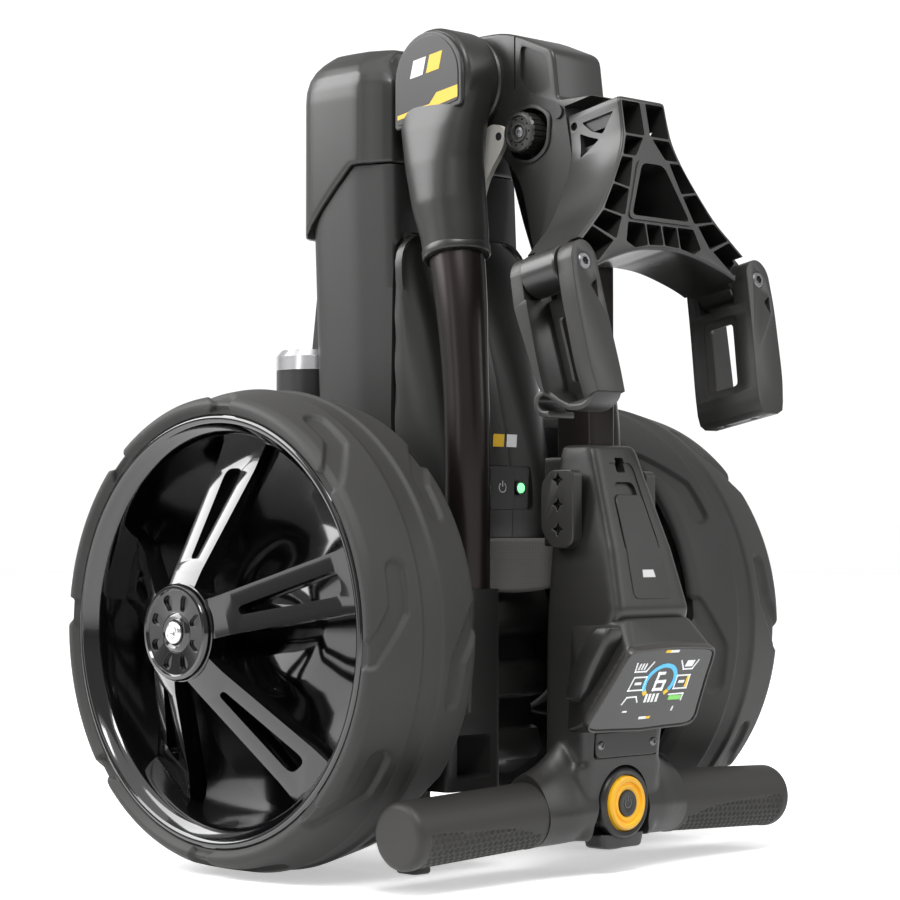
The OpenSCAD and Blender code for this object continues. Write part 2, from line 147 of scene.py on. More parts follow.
def rod(name, radius, start, end, centre, axis="x", count=48):
    """A solid cylinder along an axis, mostly used as a cutter."""
    return lathe(name, rect(0, start, radius, end), centre, axis, count,
        closed=False)


def rect(x0, y0, x1, y1):
    return [(x0, y0), (x1, y0), (x1, y1), (x0, y1)]


def prism(name, outline, axis, start, end):
    """An outline pushed along an axis. It is in (y, z) for x, (x, z) for y and (x, y) for z."""
    place = {"x": lambda p, d: (d, p[0], p[1]), "y": lambda p, d: (p[0], d, p[1]),
             "z": lambda p, d: (p[0], p[1], d)}[axis]
    rings = [[place(p, d) for p in outline] for d in (start, end)]
    return loft(name, rings, smooth=False)


def block(name, low, high):
    (x0, y0, z0), (x1, y1, z1) = low, high
    return prism(name, rect(x0, y0, x1, y1), "z", z0, z1)


def smooth_path(points, steps=10):
    """A Catmull-Rom curve through the points."""
    p = np.asarray(points, float)
    p = np.vstack([2 * p[0] - p[1], p, 2 * p[-1] - p[-2]])
    out = []
    for i in range(1, len(p) - 2):
        for t in np.linspace(0, 1, steps, endpoint=False):
            a, b, c, d = p[i - 1:i + 3]
            out.append(0.5 * (2 * b + (c - a) * t + (2 * a - 5 * b + 4 * c - d) * t * t
                              + (3 * b - a - 3 * c + d) * t ** 3))
    out.append(p[-2])
    return np.array(out)


def sweep(name, path, radii, count=48):
    """A round bar along a path."""
    path = np.asarray(path, float)
    radii = np.broadcast_to(radii, len(path))
    rings = []
    for i, p in enumerate(path):
        ahead = path[min(i + 1, len(path) - 1)] - path[max(i - 1, 0)]
        ahead = ahead / np.linalg.norm(ahead)
        side = np.cross(ahead, (0, 1, 0))
        side = side / np.linalg.norm(side)
        over = np.cross(side, ahead)
        rings.append([p + radii[i] * (math.cos(t) * side + math.sin(t) * over)
                      for t in np.arange(count) * TAU / count])
    return loft(name, rings)


def weld(obj):
    bm = bmesh.new()
    bm.from_mesh(obj.data)
    bmesh.ops.remove_doubles(bm, verts=bm.verts, dist=WELD_DISTANCE)
    bmesh.ops.recalc_face_normals(bm, faces=bm.faces)
    bm.to_mesh(obj.data)
    bm.free()


def apply_modifiers(obj):
    graph = bpy.context.evaluated_depsgraph_get()
    mesh = bpy.data.meshes.new_from_object(obj.evaluated_get(graph))
    obj.modifiers.clear()
    old, obj.data = obj.data, mesh
    bpy.data.meshes.remove(old)


def combine(obj, other, operation="DIFFERENCE", keep=False):
    mod = obj.modifiers.new("combine", "BOOLEAN")
    mod.operation, mod.object, mod.solver = operation, other, "MANIFOLD"
    apply_modifiers(obj)
    if not keep:
        bpy.data.objects.remove(other)
    return obj


def join(obj, others):
    """Puts the other pieces' meshes into obj, without merging their surfaces."""
    bm = bmesh.new()
    bm.from_mesh(obj.data)
    for o in others:
        bm.from_mesh(o.data)
        bpy.data.objects.remove(o)
    bm.to_mesh(obj.data)
    bm.free()
    return obj


def melt(obj, voxel=1.5, passes=6):
    """Joins overlapping closed shapes into one skin and rounds their corners."""
    mod = obj.modifiers.new("skin", "REMESH")
    mod.mode, mod.voxel_size, mod.use_smooth_shade = "VOXEL", voxel * MM, True
    if passes:
        mod = obj.modifiers.new("relax", "SMOOTH")
        mod.factor, mod.iterations = 0.5, passes
    apply_modifiers(obj)
    return obj


def bevel(obj, width=0.8, segments=2, angle=32):
    mod = obj.modifiers.new("bevel", "BEVEL")
    mod.width, mod.segments, mod.limit_method = width * MM, segments, "ANGLE"
    mod.angle_limit, mod.harden_normals = math.radians(angle), False
    mod.miter_outer = "MITER_ARC"
    return obj


def shade_by_angle(obj, angle=35):
    obj.data.polygons.foreach_set("use_smooth", [True] * len(obj.data.polygons))
    obj.data.set_sharp_from_angle(angle=math.radians(angle))


def turned(obj, axis, angle, about):
    centre = Matrix.Translation(Vector(about) * MM)
    obj.data.transform(centre @ Matrix.Rotation(angle, 4, axis) @ centre.inverted())
    return obj


def mirrored(obj, name):
    """A copy of obj on the other side of the middle plane."""
    copy = link(name, obj.data.copy())
    copy.data.transform(Matrix.Scale(-1, 4, (1, 0, 0)))
    copy.data.flip_normals()
    for mod in obj.modifiers:
        new = copy.modifiers.new(mod.name, mod.type)
        for prop in mod.bl_rna.properties:
            if not prop.is_readonly and prop.identifier not in ("name", "type"):
                setattr(new, prop.identifier, getattr(mod, prop.identifier))
    return copy


def finish_piece(obj, body, material, stands_for=()):
    obj.data.materials.clear()
    obj.data.materials.append(material)
    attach(obj, body)
    if stands_for:
        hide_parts(*([stands_for] if isinstance(stands_for, str) else stands_for))
    return obj


def finish_pair(obj, twin, body, material, node):
    """Finishes obj on the right side and its mirror image, called twin, on the left."""
    copy = mirrored(obj, twin)
    finish_piece(obj, body[0], material, node + "_right")
    finish_piece(copy, body[1], material, node + "_left")


def ease(a, b, x):
    t = np.clip((x - a) / (b - a), 0, 1)
    return t * t * (3 - 2 * t)


def rounded(outline, radius, steps=5):
    """The same outline with each corner turned into an arc-like curve."""
    pts = [np.asarray(p, float) for p in outline]
    radii = radius if hasattr(radius, "__len__") else [radius] * len(pts)
    out = []
    for i, p in enumerate(pts):
        a, b = pts[i - 1] - p, pts[(i + 1) % len(pts)] - p
        la, lb = np.linalg.norm(a), np.linalg.norm(b)
        k = min(radii[i], la * 0.48, lb * 0.48)
        start, end = p + a / la * k, p + b / lb * k
        for t in np.linspace(0, 1, steps):
            out.append((1 - t) ** 2 * start + 2 * t * (1 - t) * p + t * t * end)
    return np.array(out)


# ---------- materials ----------
def material(name, color, roughness, metallic=0.0, grain=0.02, grain_size=900, spread=0.12,
             coat=0.0, sheen=0.0, emission=0.0, mottle=0.06):
    """Principled material with fine bump, uneven roughness and slight colour variation."""
    mat = bpy.data.materials.new(name)
    mat.use_nodes = True
    nodes, links = mat.node_tree.nodes, mat.node_tree.links
    shader = nodes["Principled BSDF"]
    shader.inputs["Metallic"].default_value = metallic
    shader.inputs["Coat Weight"].default_value = coat
    shader.inputs["Coat Roughness"].default_value = 0.05
    shader.inputs["Sheen Weight"].default_value = sheen
    place = nodes.new("ShaderNodeTexCoord")
    cloud = nodes.new("ShaderNodeTexNoise")
    cloud.inputs["Scale"].default_value = 14
    cloud.inputs["Detail"].default_value = 5
    links.new(place.outputs["Object"], cloud.inputs["Vector"])
    tint = nodes.new("ShaderNodeMapRange")
    tint.inputs["To Min"].default_value = 1 - mottle
    tint.inputs["To Max"].default_value = 1 + mottle
    links.new(cloud.outputs["Fac"], tint.inputs["Value"])
    shade = nodes.new("ShaderNodeMix")
    shade.data_type, shade.blend_type = "RGBA", "MULTIPLY"
    shade.inputs["Factor"].default_value = 1
    shade.inputs["A"].default_value = (*color, 1)
    links.new(tint.outputs["Result"], shade.inputs["B"])
    links.new(shade.outputs["Result"], shader.inputs["Base Color"])
    rough = nodes.new("ShaderNodeMapRange")
    rough.inputs["To Min"].default_value = max(roughness - spread / 2, 0.02)
    rough.inputs["To Max"].default_value = min(roughness + spread / 2, 1)
    links.new(cloud.outputs["Fac"], rough.inputs["Value"])
    links.new(rough.outputs["Result"], shader.inputs["Roughness"])
    speck = nodes.new("ShaderNodeTexNoise")
    speck.inputs["Scale"].default_value = grain_size
    speck.inputs["Detail"].default_value = 3
    links.new(place.outputs["Object"], speck.inputs["Vector"])
    bump = nodes.new("ShaderNodeBump")
    bump.inputs["Strength"].default_value = 1
    bump.inputs["Distance"].default_value = grain * MM
    links.new(speck.outputs["Fac"], bump.inputs["Height"])
    links.new(bump.outputs["Normal"], shader.inputs["Normal"])
    if emission:
        shader.inputs["Emission Color"].default_value = (*color, 1)
        shader.inputs["Emission Strength"].default_value = emission
    return mat


CHARCOAL = material("charcoal_moulding", (0.014, 0.014, 0.0135), 0.46, grain=0.05, grain_size=1400)
CHARCOAL_SATIN = material("charcoal_satin", (0.020, 0.020, 0.019), 0.36, grain=0.03)
CAP_SATIN = material("housing_cap_satin", (0.024, 0.024, 0.023), 0.34, grain=0.02)
TYRE = material("tyre_rubber", (0.031, 0.030, 0.029), 0.62, grain=0.09, grain_size=1100,
                spread=0.2, mottle=0.1)
GLOSS_BLACK = material("gloss_black", (0.004, 0.004, 0.0045), 0.12, coat=0.6, grain=0.004,
                       grain_size=500, spread=0.06)
SATIN_BLACK = material("satin_black", (0.012, 0.012, 0.012), 0.38)
BRONZE = material("bronze_anodised", (0.020, 0.015, 0.014), 0.30, metallic=0.55, grain=0.01,
                  grain_size=2200, spread=0.08)
BRIGHT = material("bright_metal", (0.72, 0.72, 0.74), 0.26, metallic=1, grain=0.01, spread=0.1)
PALE = material("pale_lever", (0.60, 0.58, 0.54), 0.45, grain=0.06, grain_size=1200)
# The dial ring is no lamp: its emission is a painted glow that brightens it beyond what the lights give.
YELLOW = material("yellow_ring", (0.95, 0.50, 0.02), 0.38, grain=0.01, coat=0.2, emission=0.28)
SCREEN = material("screen_glass", (0.006, 0.006, 0.007), 0.16, coat=0.25, grain=0.001, spread=0.02)
GREEN_LAMP = material("green_lamp", (0.16, 0.75, 0.25), 0.25, emission=2.4)
MARK_WHITE = material("mark_white", (0.85, 0.85, 0.85), 0.4)
MARK_YELLOW = material("mark_yellow", (0.9, 0.55, 0.03), 0.4)
UI_WHITE = material("screen_white", (0.92, 0.94, 0.95), 0.4, emission=0.75)
UI_CYAN = material("screen_cyan", (0.10, 0.50, 0.80), 0.4, emission=0.9)
UI_YELLOW = material("screen_yellow", (0.95, 0.62, 0.05), 0.4, emission=0.7)
UI_GREEN = material("screen_green", (0.25, 0.75, 0.15), 0.4, emission=0.7)


CASING = material("casing_grey", (0.040, 0.040, 0.038), 0.30, grain=0.015)
HANDLE = material("handle_moulding", (0.026, 0.025, 0.024), 0.40, grain=0.035, grain_size=1500)
HANDLE_EDGE = material("handle_edge", (0.040, 0.038, 0.036), 0.34, grain=0.02)
HANDLE_LIGHT = material("cheek_moulding", (0.045, 0.044, 0.042), 0.38, grain=0.03)
BRACKET_PLASTIC = material("bracket_moulding", (0.030, 0.030, 0.029), 0.30, grain=0.02)
GRIP = material("grip_rubber", (0.024, 0.023, 0.021), 0.55, grain=0.05, grain_size=1300, spread=0.2)
GEARBOX = material("gearbox_dark", (0.022, 0.022, 0.023), 0.30, grain=0.02)
GREY_METAL = material("grey_metal", (0.16, 0.16, 0.165), 0.36, metallic=0.9, grain=0.01)
MARK_GREY = material("mark_grey", (0.16, 0.16, 0.16), 0.4)


THREAD = 0.7


def woven(name, color):
    """Webbing with threads crossing every THREAD millimetres."""
    mat = material(name, color, 0.85, grain=0.05, sheen=0.3, mottle=0.12)
    nodes, links = mat.node_tree.nodes, mat.node_tree.links
    place = nodes.new("ShaderNodeTexCoord")
    total = None
    for turn in (0, 90):
        move = nodes.new("ShaderNodeMapping")
        move.inputs["Rotation"].default_value = (0, math.radians(turn), 0)
        wave = nodes.new("ShaderNodeTexWave")
        wave.wave_profile = "SIN"
        wave.inputs["Scale"].default_value = 1 / (THREAD * MM) / 6.28
        links.new(place.outputs["Object"], move.inputs["Vector"])
        links.new(move.outputs["Vector"], wave.inputs["Vector"])
        if total is None:
            total = wave.outputs["Fac"]
            continue
        add = nodes.new("ShaderNodeMath")
        links.new(total, add.inputs[0])
        links.new(wave.outputs["Fac"], add.inputs[1])
        total = add.outputs["Value"]
    bump = nodes.new("ShaderNodeBump")
    bump.inputs["Distance"].default_value = 0.08 * MM
    links.new(total, bump.inputs["Height"])
    links.new(bump.outputs["Normal"], nodes["Principled BSDF"].inputs["Normal"])
    return mat


WEBBING = woven("pale_webbing", (0.20, 0.195, 0.18))


# ---------- camera, lights and floor ----------
CAMERA_AT = (-1189.0, -1187.7, 203.8)
CAMERA_AZIMUTH, CAMERA_PITCH = math.radians(45.46), math.radians(1.80)
CAMERA_LENS = 104.4
FLOOR_HALF, FLOOR_DROP = 9000, 0.5
LIGHTS_AIM = (0, -0.05, 0.28)
AREA_LIGHTS = {"left_high": ((-1.1, 1.15, 1.35), (1.5, 1.3), 46),
    "key": ((-0.9, -1.1, 1.9), (0.8, 0.6), 26), "left_strip": ((-1.9, 0.0, 0.7), (0.35, 1.3), 3),
    "right_fill": ((1.2, -1.5, 1.3), (0.4, 1.3), 9)}


def build_stage():
    camera = bpy.data.objects.new("camera", bpy.data.cameras.new("camera"))
    bpy.context.scene.collection.objects.link(camera)
    azimuth, pitch = CAMERA_AZIMUTH, CAMERA_PITCH
    ahead = Vector((math.sin(azimuth) * math.cos(pitch), math.cos(azimuth) * math.cos(pitch),
                    math.sin(pitch)))
    camera.location = Vector(CAMERA_AT) * MM
    camera.rotation_euler = ahead.to_track_quat("-Z", "Y").to_euler()
    camera.data.lens = CAMERA_LENS
    camera.data.clip_start = 0.05
    bpy.context.scene.camera = camera

    far = FLOOR_HALF
    floor = mesh_object("floor", [(-far, -far, 0), (far, -far, 0), (far, far, 0), (-far, far, 0)],
                        [(0, 1, 2, 3)])
    floor.location.z = -FLOOR_DROP * MM
    paint = material("floor_paint", (0.93, 0.93, 0.93), 0.7, grain=0.02, mottle=0.01, emission=0.5)
    floor.data.materials.append(paint)
    floor.visible_diffuse = False

    world = bpy.data.worlds.new("studio")
    bpy.context.scene.world = world
    bpy.context.scene.view_settings.view_transform = "Standard"
    bpy.context.scene.view_settings.look = "None"
    world.use_nodes = True
    nodes, links = world.node_tree.nodes, world.node_tree.links
    place = nodes.new("ShaderNodeTexCoord")
    split = nodes.new("ShaderNodeSeparateXYZ")
    links.new(place.outputs["Generated"], split.inputs["Vector"])

    def ramp(source, start, end, low, high):
        node = nodes.new("ShaderNodeMapRange")
        node.interpolation_type = "SMOOTHSTEP"
        for socket, value in zip(("From Min", "From Max", "To Min", "To Max"), (start, end, low, high)):
            node.inputs[socket].default_value = value
        links.new(source, node.inputs["Value"])
        return node.outputs["Result"]

    def blend(operation, first, second):
        node = nodes.new("ShaderNodeMath")
        node.operation = operation
        links.new(first, node.inputs[0])
        links.new(second, node.inputs[1])
        return node.outputs["Value"]

    facing = nodes.new("ShaderNodeVectorMath")
    facing.operation = "DOT_PRODUCT"
    links.new(place.outputs["Generated"], facing.inputs[0])
    facing.inputs[1].default_value = tuple(ahead)
    backdrop = blend("MULTIPLY", ramp(facing.outputs["Value"], 0.55, 0.90, 0, 0.76),
                     ramp(split.outputs["Z"], 0.20, 0.45, 1, 0))
    sky = ramp(split.outputs["Z"], -0.25, 0.25, 0.08, 0.42)
    links.new(blend("ADD", backdrop, sky), nodes["Background"].inputs["Color"])
    nodes["Background"].inputs["Strength"].default_value = 1.0

    def area(name, at, size, power):
        lamp = bpy.data.lights.new(name, "AREA")
        lamp.shape, lamp.energy = "RECTANGLE", power
        lamp.size, lamp.size_y = size
        obj = bpy.data.objects.new(name, lamp)
        bpy.context.scene.collection.objects.link(obj)
        obj.location = at
        obj.rotation_euler = (Vector(LIGHTS_AIM) - Vector(at)).to_track_quat("-Z", "Y").to_euler()

    sun = bpy.data.lights.new("sky_sun", "SUN")
    sun.energy, sun.angle = 1.1, math.radians(70)
    over = bpy.data.objects.new("sky_sun", sun)
    bpy.context.scene.collection.objects.link(over)
    over.rotation_euler = (math.radians(12), math.radians(-10), 0)
    for name, (at, size, power) in AREA_LIGHTS.items():
        area(name, at, size, power)


# ---------- rear wheels ----------
SLOT_PITCH = math.radians(45)


def near_band(theta, offset, kink, flip):
    """Distance in mm from a point on the tread to the nearest kinked slot of one row."""
    turn = (theta - kink + SLOT_PITCH / 2) % SLOT_PITCH - SLOT_PITCH / 2
    arc = turn * WHEEL_R * flip
    across = offset * flip
    line = [(26, -22.5), (3, -23.5), (-25, -42)]
    best = np.full(np.shape(arc), 1e9)
    for (a0, b0), (a1, b1) in zip(line, line[1:]):
        d = np.array([a1 - a0, b1 - b0])
        t = np.clip(((arc - a0) * d[0] + (across - b0) * d[1]) / d.dot(d), 0, 1)
        best = np.minimum(best, np.hypot(arc - a0 - t * d[0], across - b0 - t * d[1]))
    return best


def build_tyre():
    """The right tyre, with two rows of kinked slots and a shallow centre band."""
    corners = [(-40, 129.2), (-43.2, 132.6), (-43.4, 135.0), (-41.8, 137.4), (-38.2, 139.5),
               (-24, 142.2), (-9.0, 144.95), (-8.1, 145), (-6.6, 143.2), (-5, 143.1), (0, 143.1)]
    half = np.array(corners)
    full = np.vstack([half, (half * (-1, 1))[-2::-1]])
    scale = TYRE_HALF / 43.4
    steps = np.concatenate([[0], np.cumsum(np.hypot(*np.diff(full, axis=0).T))])
    spots = np.arange(0, steps[-1], 1.1)
    off = np.interp(spots, steps, full[:, 0]) * scale
    rad = np.interp(spots, steps, full[:, 1]) - 145 + WHEEL_R
    rad = np.convolve(np.pad(rad, 1, mode="edge"), [0.2, 0.6, 0.2], "valid")
    normal = np.stack([-np.gradient(rad), np.gradient(off)], -1)
    normal /= np.linalg.norm(normal, axis=1)[:, None]
    count = 700
    theta = np.arange(count)[:, None] * TAU / count
    depth = 0
    for kink, flip in ((math.radians(5), 1), (math.radians(-5), -1)):
        d = near_band(theta, off[None], kink, flip)
        depth = np.maximum(depth, 2.8 * ease(7.4, 5.2, d))
    a = WHEEL_X - (off[None] - depth * normal[None, :, 0])
    r = rad[None] - depth * normal[None, :, 1]
    skin = np.stack([a, -r * np.cos(theta), WHEEL_R + r * np.sin(theta)], -1)
    inner = []
    for r_in, a_in in ((129.0, 40 * scale), (129, 36), (121.2, 35), (121.2, -35), (129, -36),
                       (129.0, -40 * scale)):
        ring = np.stack([np.full(count, WHEEL_X - a_in), -r_in * np.cos(theta[:, 0]),
                         WHEEL_R + r_in * np.sin(theta[:, 0])], -1)
        inner.append(ring)
    rings = np.concatenate([skin, np.stack(inner, 1)], axis=1)
    rows, cols = rings.shape[:2]
    return mesh_object("tread_right", rings.reshape(-1, 3),
                       grid_faces(rows, cols, wrap_rows=True, wrap_cols=True))


def build_rim():
    """The right rim: lip, deep barrel, dished inner web and five split spokes."""
    x = WHEEL_X
    lip = [(129.0, 36), (129.0, 39.2), (128.2, 40.6), (126.6, 41.3), (124.6, 41.0), (123.2, 39.6),
           (122.4, 37.4), (119.6, 35.6), (117.4, 33), (116.6, 29), (115.8, 10), (116.0, -30),
           (116.5, -38.6), (100, -39.8), (80, -41)]
    dish = [(66, -40), (56, -36.8), (44, -30.6), (33, -23.6), (26, -20), (13, -20), (13, -23),
            (26, -23), (33, -26.4), (44, -33.6), (56, -39.8), (66, -42.2)]
    profile = lip + dish + [(119, -42), (129, -40), (129, -36), (121.0, -35), (121.0, 35)]
    shell = lathe("rim_right_shell", [(r, x + a) for r, a in profile], AXLE, count=200)
    hub = lathe("hub", [(6.2, 98), (14, 98), (15, 130), (19, 172), (27.4, 196), (28.9, 202),
                        (28.9, HUB_FACE - 0.6), (28.2, HUB_FACE), (7.2, HUB_FACE),
                        (7.2, 205), (6.2, 205)], AXLE, count=96)
    parts = [hub]
    side = [(190, 16), (HUB_FACE - 1.2, 18), (HUB_FACE - 1.4, 27), (202, 36), (166.5, 95),
            (158, 112), (155, 119), (143, 119), (148, 104), (192, 30)]
    face = rounded([(-11.5, 14), (11.5, 14), (12, 34), (18.5, 98), (20.5, 119), (-20.5, 119),
                    (-18.5, 98), (-12, 34)], 6, 4)
    slot = rounded([(-2.6, 43), (2.6, 43), (7.8, 97), (-7.8, 97)], [2.6, 2.6, 6, 6], 5)
    for k in range(5):
        spoke = prism("spoke", [(r, a - HUB_FACE) for a, r in side], "z", -30, 30)
        spoke.data.transform(Matrix(((0, 1, 0, HUB_FACE * MM), (0, 0, 1, 0), (1, 0, 0, 0),
                                     (0, 0, 0, 1))))
        weld(spoke)
        cut = prism("cut", face, "x", 100, 240)
        combine(spoke, cut, "INTERSECT")
        combine(spoke, prism("slot", slot, "x", 100, 240))
        spoke.data.transform(Matrix.Translation((0, 0, WHEEL_R * MM)))
        turned(spoke, "X", TAU * k / 5, AXLE)
        bevel(spoke, 1.5, 3, 28)
        apply_modifiers(spoke)
        parts.append(spoke)
    join(shell, parts)
    shell.name = "gloss_rim_right"
    shade_by_angle(shell, 40)
    return shell


def build_hub_cap():
    face = HUB_FACE
    cap = lathe("petal_cap_right", [(7.2, face), (28.4, face), (28.5, face + 2.6), (27.4, face + 4.4),
                                    (25.6, face + 4.6), (24.8, face + 3.2), (12, face + 2.6),
                                    (10.5, face + 4.4), (9.4, face + 4.8), (7.4, face + 3.6)],
                AXLE, count=120)
    petal = rounded([(-1.6, 13.2), (1.6, 13.2), (3.7, 20), (2.6, 23), (-2.6, 23), (-3.7, 20)], 1.5, 4)
    for k in range(8):
        cutter = prism("petal", petal, "x", face + 1.0, face + 9)
        cutter.data.transform(Matrix.Translation((0, 0, WHEEL_R * MM)))
        turned(cutter, "X", TAU * (k + 0.5) / 8, AXLE)
        combine(cap, cutter)
    bevel(cap, 0.45, 2, 40)
    shade_by_angle(cap, 50)
    return cap


def build_release_button():
    end = box_mm("release_button_right")[1][0]
    return lathe("silver_button_right", [(0, 204), (5.6, 204), (5.6, 206.5), (6.9, 206.6),
                                         (6.9, end - 2.6), (6.3, end - 1.2), (4.6, end - 0.3),
                                         (3.1, end - 0.3), (2.4, end - 1.2), (0, end - 1.3)],
                 AXLE, count=64, closed=False)


def build_wheels():
    parts = [(build_tyre(), "tread_left", "wheel", TYRE, "tyre_rubber", "tyre"),
             (build_rim(), "gloss_rim_left", "wheel", GLOSS_BLACK, "black_plastic", "rim"),
             (build_hub_cap(), "petal_cap_left", "wheel", GLOSS_BLACK, "black_plastic", "hub_cap"),
             (build_release_button(), "silver_button_left", "release", BRIGHT, "bright_metal",
              "release_button")]
    for obj, twin, body, mat, slot, node in parts:
        finish_pair(obj, twin, (body + "_right", body + "_left"), mat, node)


# ---------- side frame ----------
def build_side_tubes():
    path = smooth_path([(60, -91, 105), (60, -91.2, 200), (60, -91.4, 256), (58.7, -89.2, 288),
                        (55.2, -82.3, 337), (51.2, -74, 372), (49.4, -70.3, 386)], 12)
    high = path[:, 2]
    radii = 13.9 + 3.3 * ease(285, 384, high)
    tube = sweep("bronze_tube_right", path, radii, 64)
    finish_pair(tube, "bronze_tube_left", BOTH_ON_CHASSIS, BRONZE, "side_tube")


def elbow_ring(centre, half_x, half_y, corner, tilt):
    """A rounded-square ring that leans back by tilt, used to loft the elbow."""
    ring = []
    for t in np.arange(64) * TAU / 64:
        c, s = math.cos(t), math.sin(t)
        u = math.copysign(abs(c) ** corner, c) * half_x
        v = math.copysign(abs(s) ** corner, s) * half_y
        ring.append((centre[0] + u, centre[1] + v, centre[2] - v * tilt))
    return ring


def build_elbows():
    low, high = box_mm("elbow_right")
    x_in, x_out = low[0], box_mm("hinge_badges")[1][0] - 3
    y, z = HINGE[1:]
    head_r = high[2] - z
    rings = [elbow_ring(*row) for row in (
        ((50.6, -73.0, 374.5), 20.2, 20.2, 1.0, 0.2),
        ((50.3, -71.2, 386), 20.8, 20.8, 0.98, 0.2),
        ((50.2, -66.4, 405), 21.8, 22.8, 0.92, 0.15),
        ((48.8, -61.0, 430), 20.6, 25.0, 0.82, 0.08),
        ((46.4, -58.0, 452), 18.4, 28.4, 0.68, 0),
        ((43.6, -57.2, 468), 15.8, 30.6, 0.55, 0),
        ((42.0, -57.0, 480), 14.9, 31.0, 0.5, 0))]
    body = loft("elbow_shell_right", rings)
    disc = lathe("disc", [(0, x_in), (head_r - 2, x_in), (head_r, x_in + 2.5),
                          (head_r, x_out - 2.5), (head_r - 2, x_out), (0, x_out)],
                 (0, y, z), count=96, closed=False)
    join(body, [disc])
    melt(body, 1.3, 7)
    collar = lathe("collar_right", [(17.6, 0), (20.4, 0), (21.1, 1.2), (21.1, 5.6), (20.3, 6.8),
                                    (17.6, 6.8)], (0, 0, 0), "z", 72)
    lean = Vector((-5.9, 12.5, 50)).to_track_quat("Z", "Y").to_matrix().to_4x4()
    collar.data.transform(Matrix.Translation(Vector((50.9, -73.6, 371.2)) * MM) @ lean)
    join(body, [collar])
    finish_pair(body, "elbow_shell_left", BOTH_ON_CHASSIS, CHARCOAL_SATIN, "elbow")


def badge_outline(grow):
    """The badge cap from the side: a round top, straight flanks and a slanting lower edge."""
    y, z = HINGE[1:]
    r = 29.0 + grow
    arc = [(y - r * math.cos(t), z + r * math.sin(t)) for t in np.linspace(0, math.pi, 40)]
    return arc + [(y + r, z - 30 - grow), (y - r, z - 19 - grow)]


def build_badges():
    face = box_mm("hinge_badges")[1][0]
    frame_piece = prism("badge_frame_right", rounded(badge_outline(0), 2.5, 3), "x", face - 3.6,
                        face - 0.5)
    bevel(frame_piece, 0.9, 3, 50)
    plate = prism("badge_plate_right", rounded(badge_outline(-2.6), 2, 3), "x", face - 3, face)
    bevel(plate, 0.5, 2, 50)
    y, z = HINGE[1:]
    stripe = [(y + 26, z - 23.5), (y + 26, z - 20.8), (y - 2, z - 16.2), (y - 8, z - 9.8),
              (y - 26, z - 7.0), (y - 26, z - 14.4), (y - 4, z - 18.6)]
    band = prism("badge_stripe_right", stripe, "x", face - 1, face + 0.12)
    y0, z0 = y + 15, z + 1
    mark = prism("badge_mark_right", [(y0, z0), (y0 - 11, z0 + 1.6), (y0 - 14, z0 + 12.6),
        (y0 - 3, z0 + 11)], "x", face - 1, face + 0.12)
    tick = prism("badge_tick_right", [(y0 - 14, z0 + 2.0), (y0 - 25, z0 + 3.6), (y0 - 28, z0 + 14.6),
                                      (y0 - 17, z0 + 13)], "x", face - 1, face + 0.12)
    for obj, twin, mat, slot in ((frame_piece, "badge_frame_left", CHARCOAL_SATIN, "grey_plastic"),
                                 (plate, "badge_plate_left", SATIN_BLACK, "grey_plastic"),
                                 (band, "badge_stripe_left", MARK_YELLOW, "yellow_plastic"),
                                 (tick, "badge_tick_left", MARK_YELLOW, "yellow_plastic"),
                                 (mark, "badge_mark_left", MARK_WHITE, "bright_metal")):
        copy = mirrored(obj, twin)
        stands = "hinge_badges" if obj is frame_piece else ()
        finish_piece(obj, "chassis", mat, stands)
        finish_piece(copy, "chassis", mat)


# ---------- battery housing and pack ----------
def half_ring(points, z, lean, count=72):
    """A level ring from a half outline (x, y), mirrored and evenly spaced along its length."""
    half = np.array(points, float)
    full = np.vstack([half, (half * (-1, 1))[::-1]])
    smooth = smooth_path(np.vstack([full, full[:1]]), 8)
    steps = np.concatenate([[0], np.cumsum(np.hypot(*np.diff(smooth, axis=0).T))])
    spots = np.linspace(0, steps[-1], count, endpoint=False)
    x, y = np.interp(spots, steps, smooth[:, 0]), np.interp(spots, steps, smooth[:, 1])
    return np.stack([x, y + lean, np.full(count, z)], -1)


SEAM_LOW, SEAM_HIGH = 391, 434
HOUSING_LEAN = math.tan(math.radians(2.6))


def build_housing():
    section = [(0, 45.6), (30, 45.4), (52, 44.0), (61, 39), (65.4, 30), (66.0, 14), (65.0, -3.4),
               (64.5, -5.2), (63.4, -7.6), (57.4, -26.4), (54, -29.2), (30, -29.8), (0, -29.8)]
    levels = [HOUSING_FLOOR + 0.3, HOUSING_FLOOR + 2] + list(np.linspace(195, 436, 16))
    rings = [half_ring(section, z, (z - 290) * HOUSING_LEAN) for z in levels]
    rings[0] = rings[0] * (0.975, 0.975, 1)
    body = loft("housing_shell", rings)
    above = prism("above", [(-70, SEAM_HIGH), (3, SEAM_HIGH), (48, SEAM_LOW), (90, SEAM_LOW), (90, 470),
        (-70, 470)], "x", -90, 90)
    combine(body, above)
    pocket = prism("pocket", rounded(rect(-50.3, 196.2, 50.3, 391.8),
                                     [3, 3, 10, 10]), "y", -70, 24.3)
    combine(body, pocket)
    notch = prism("notch", rounded(rect(-58.6, 196.2, 58.6, 391.8),
                                   [3, 3, 24, 24], 8), "y", -70, -23.7)
    combine(body, notch)
    bevel(body, 1.0, 3, 38)
    shade_by_angle(body, 45)
    finish_piece(body, "chassis", CHARCOAL, "battery_housing")


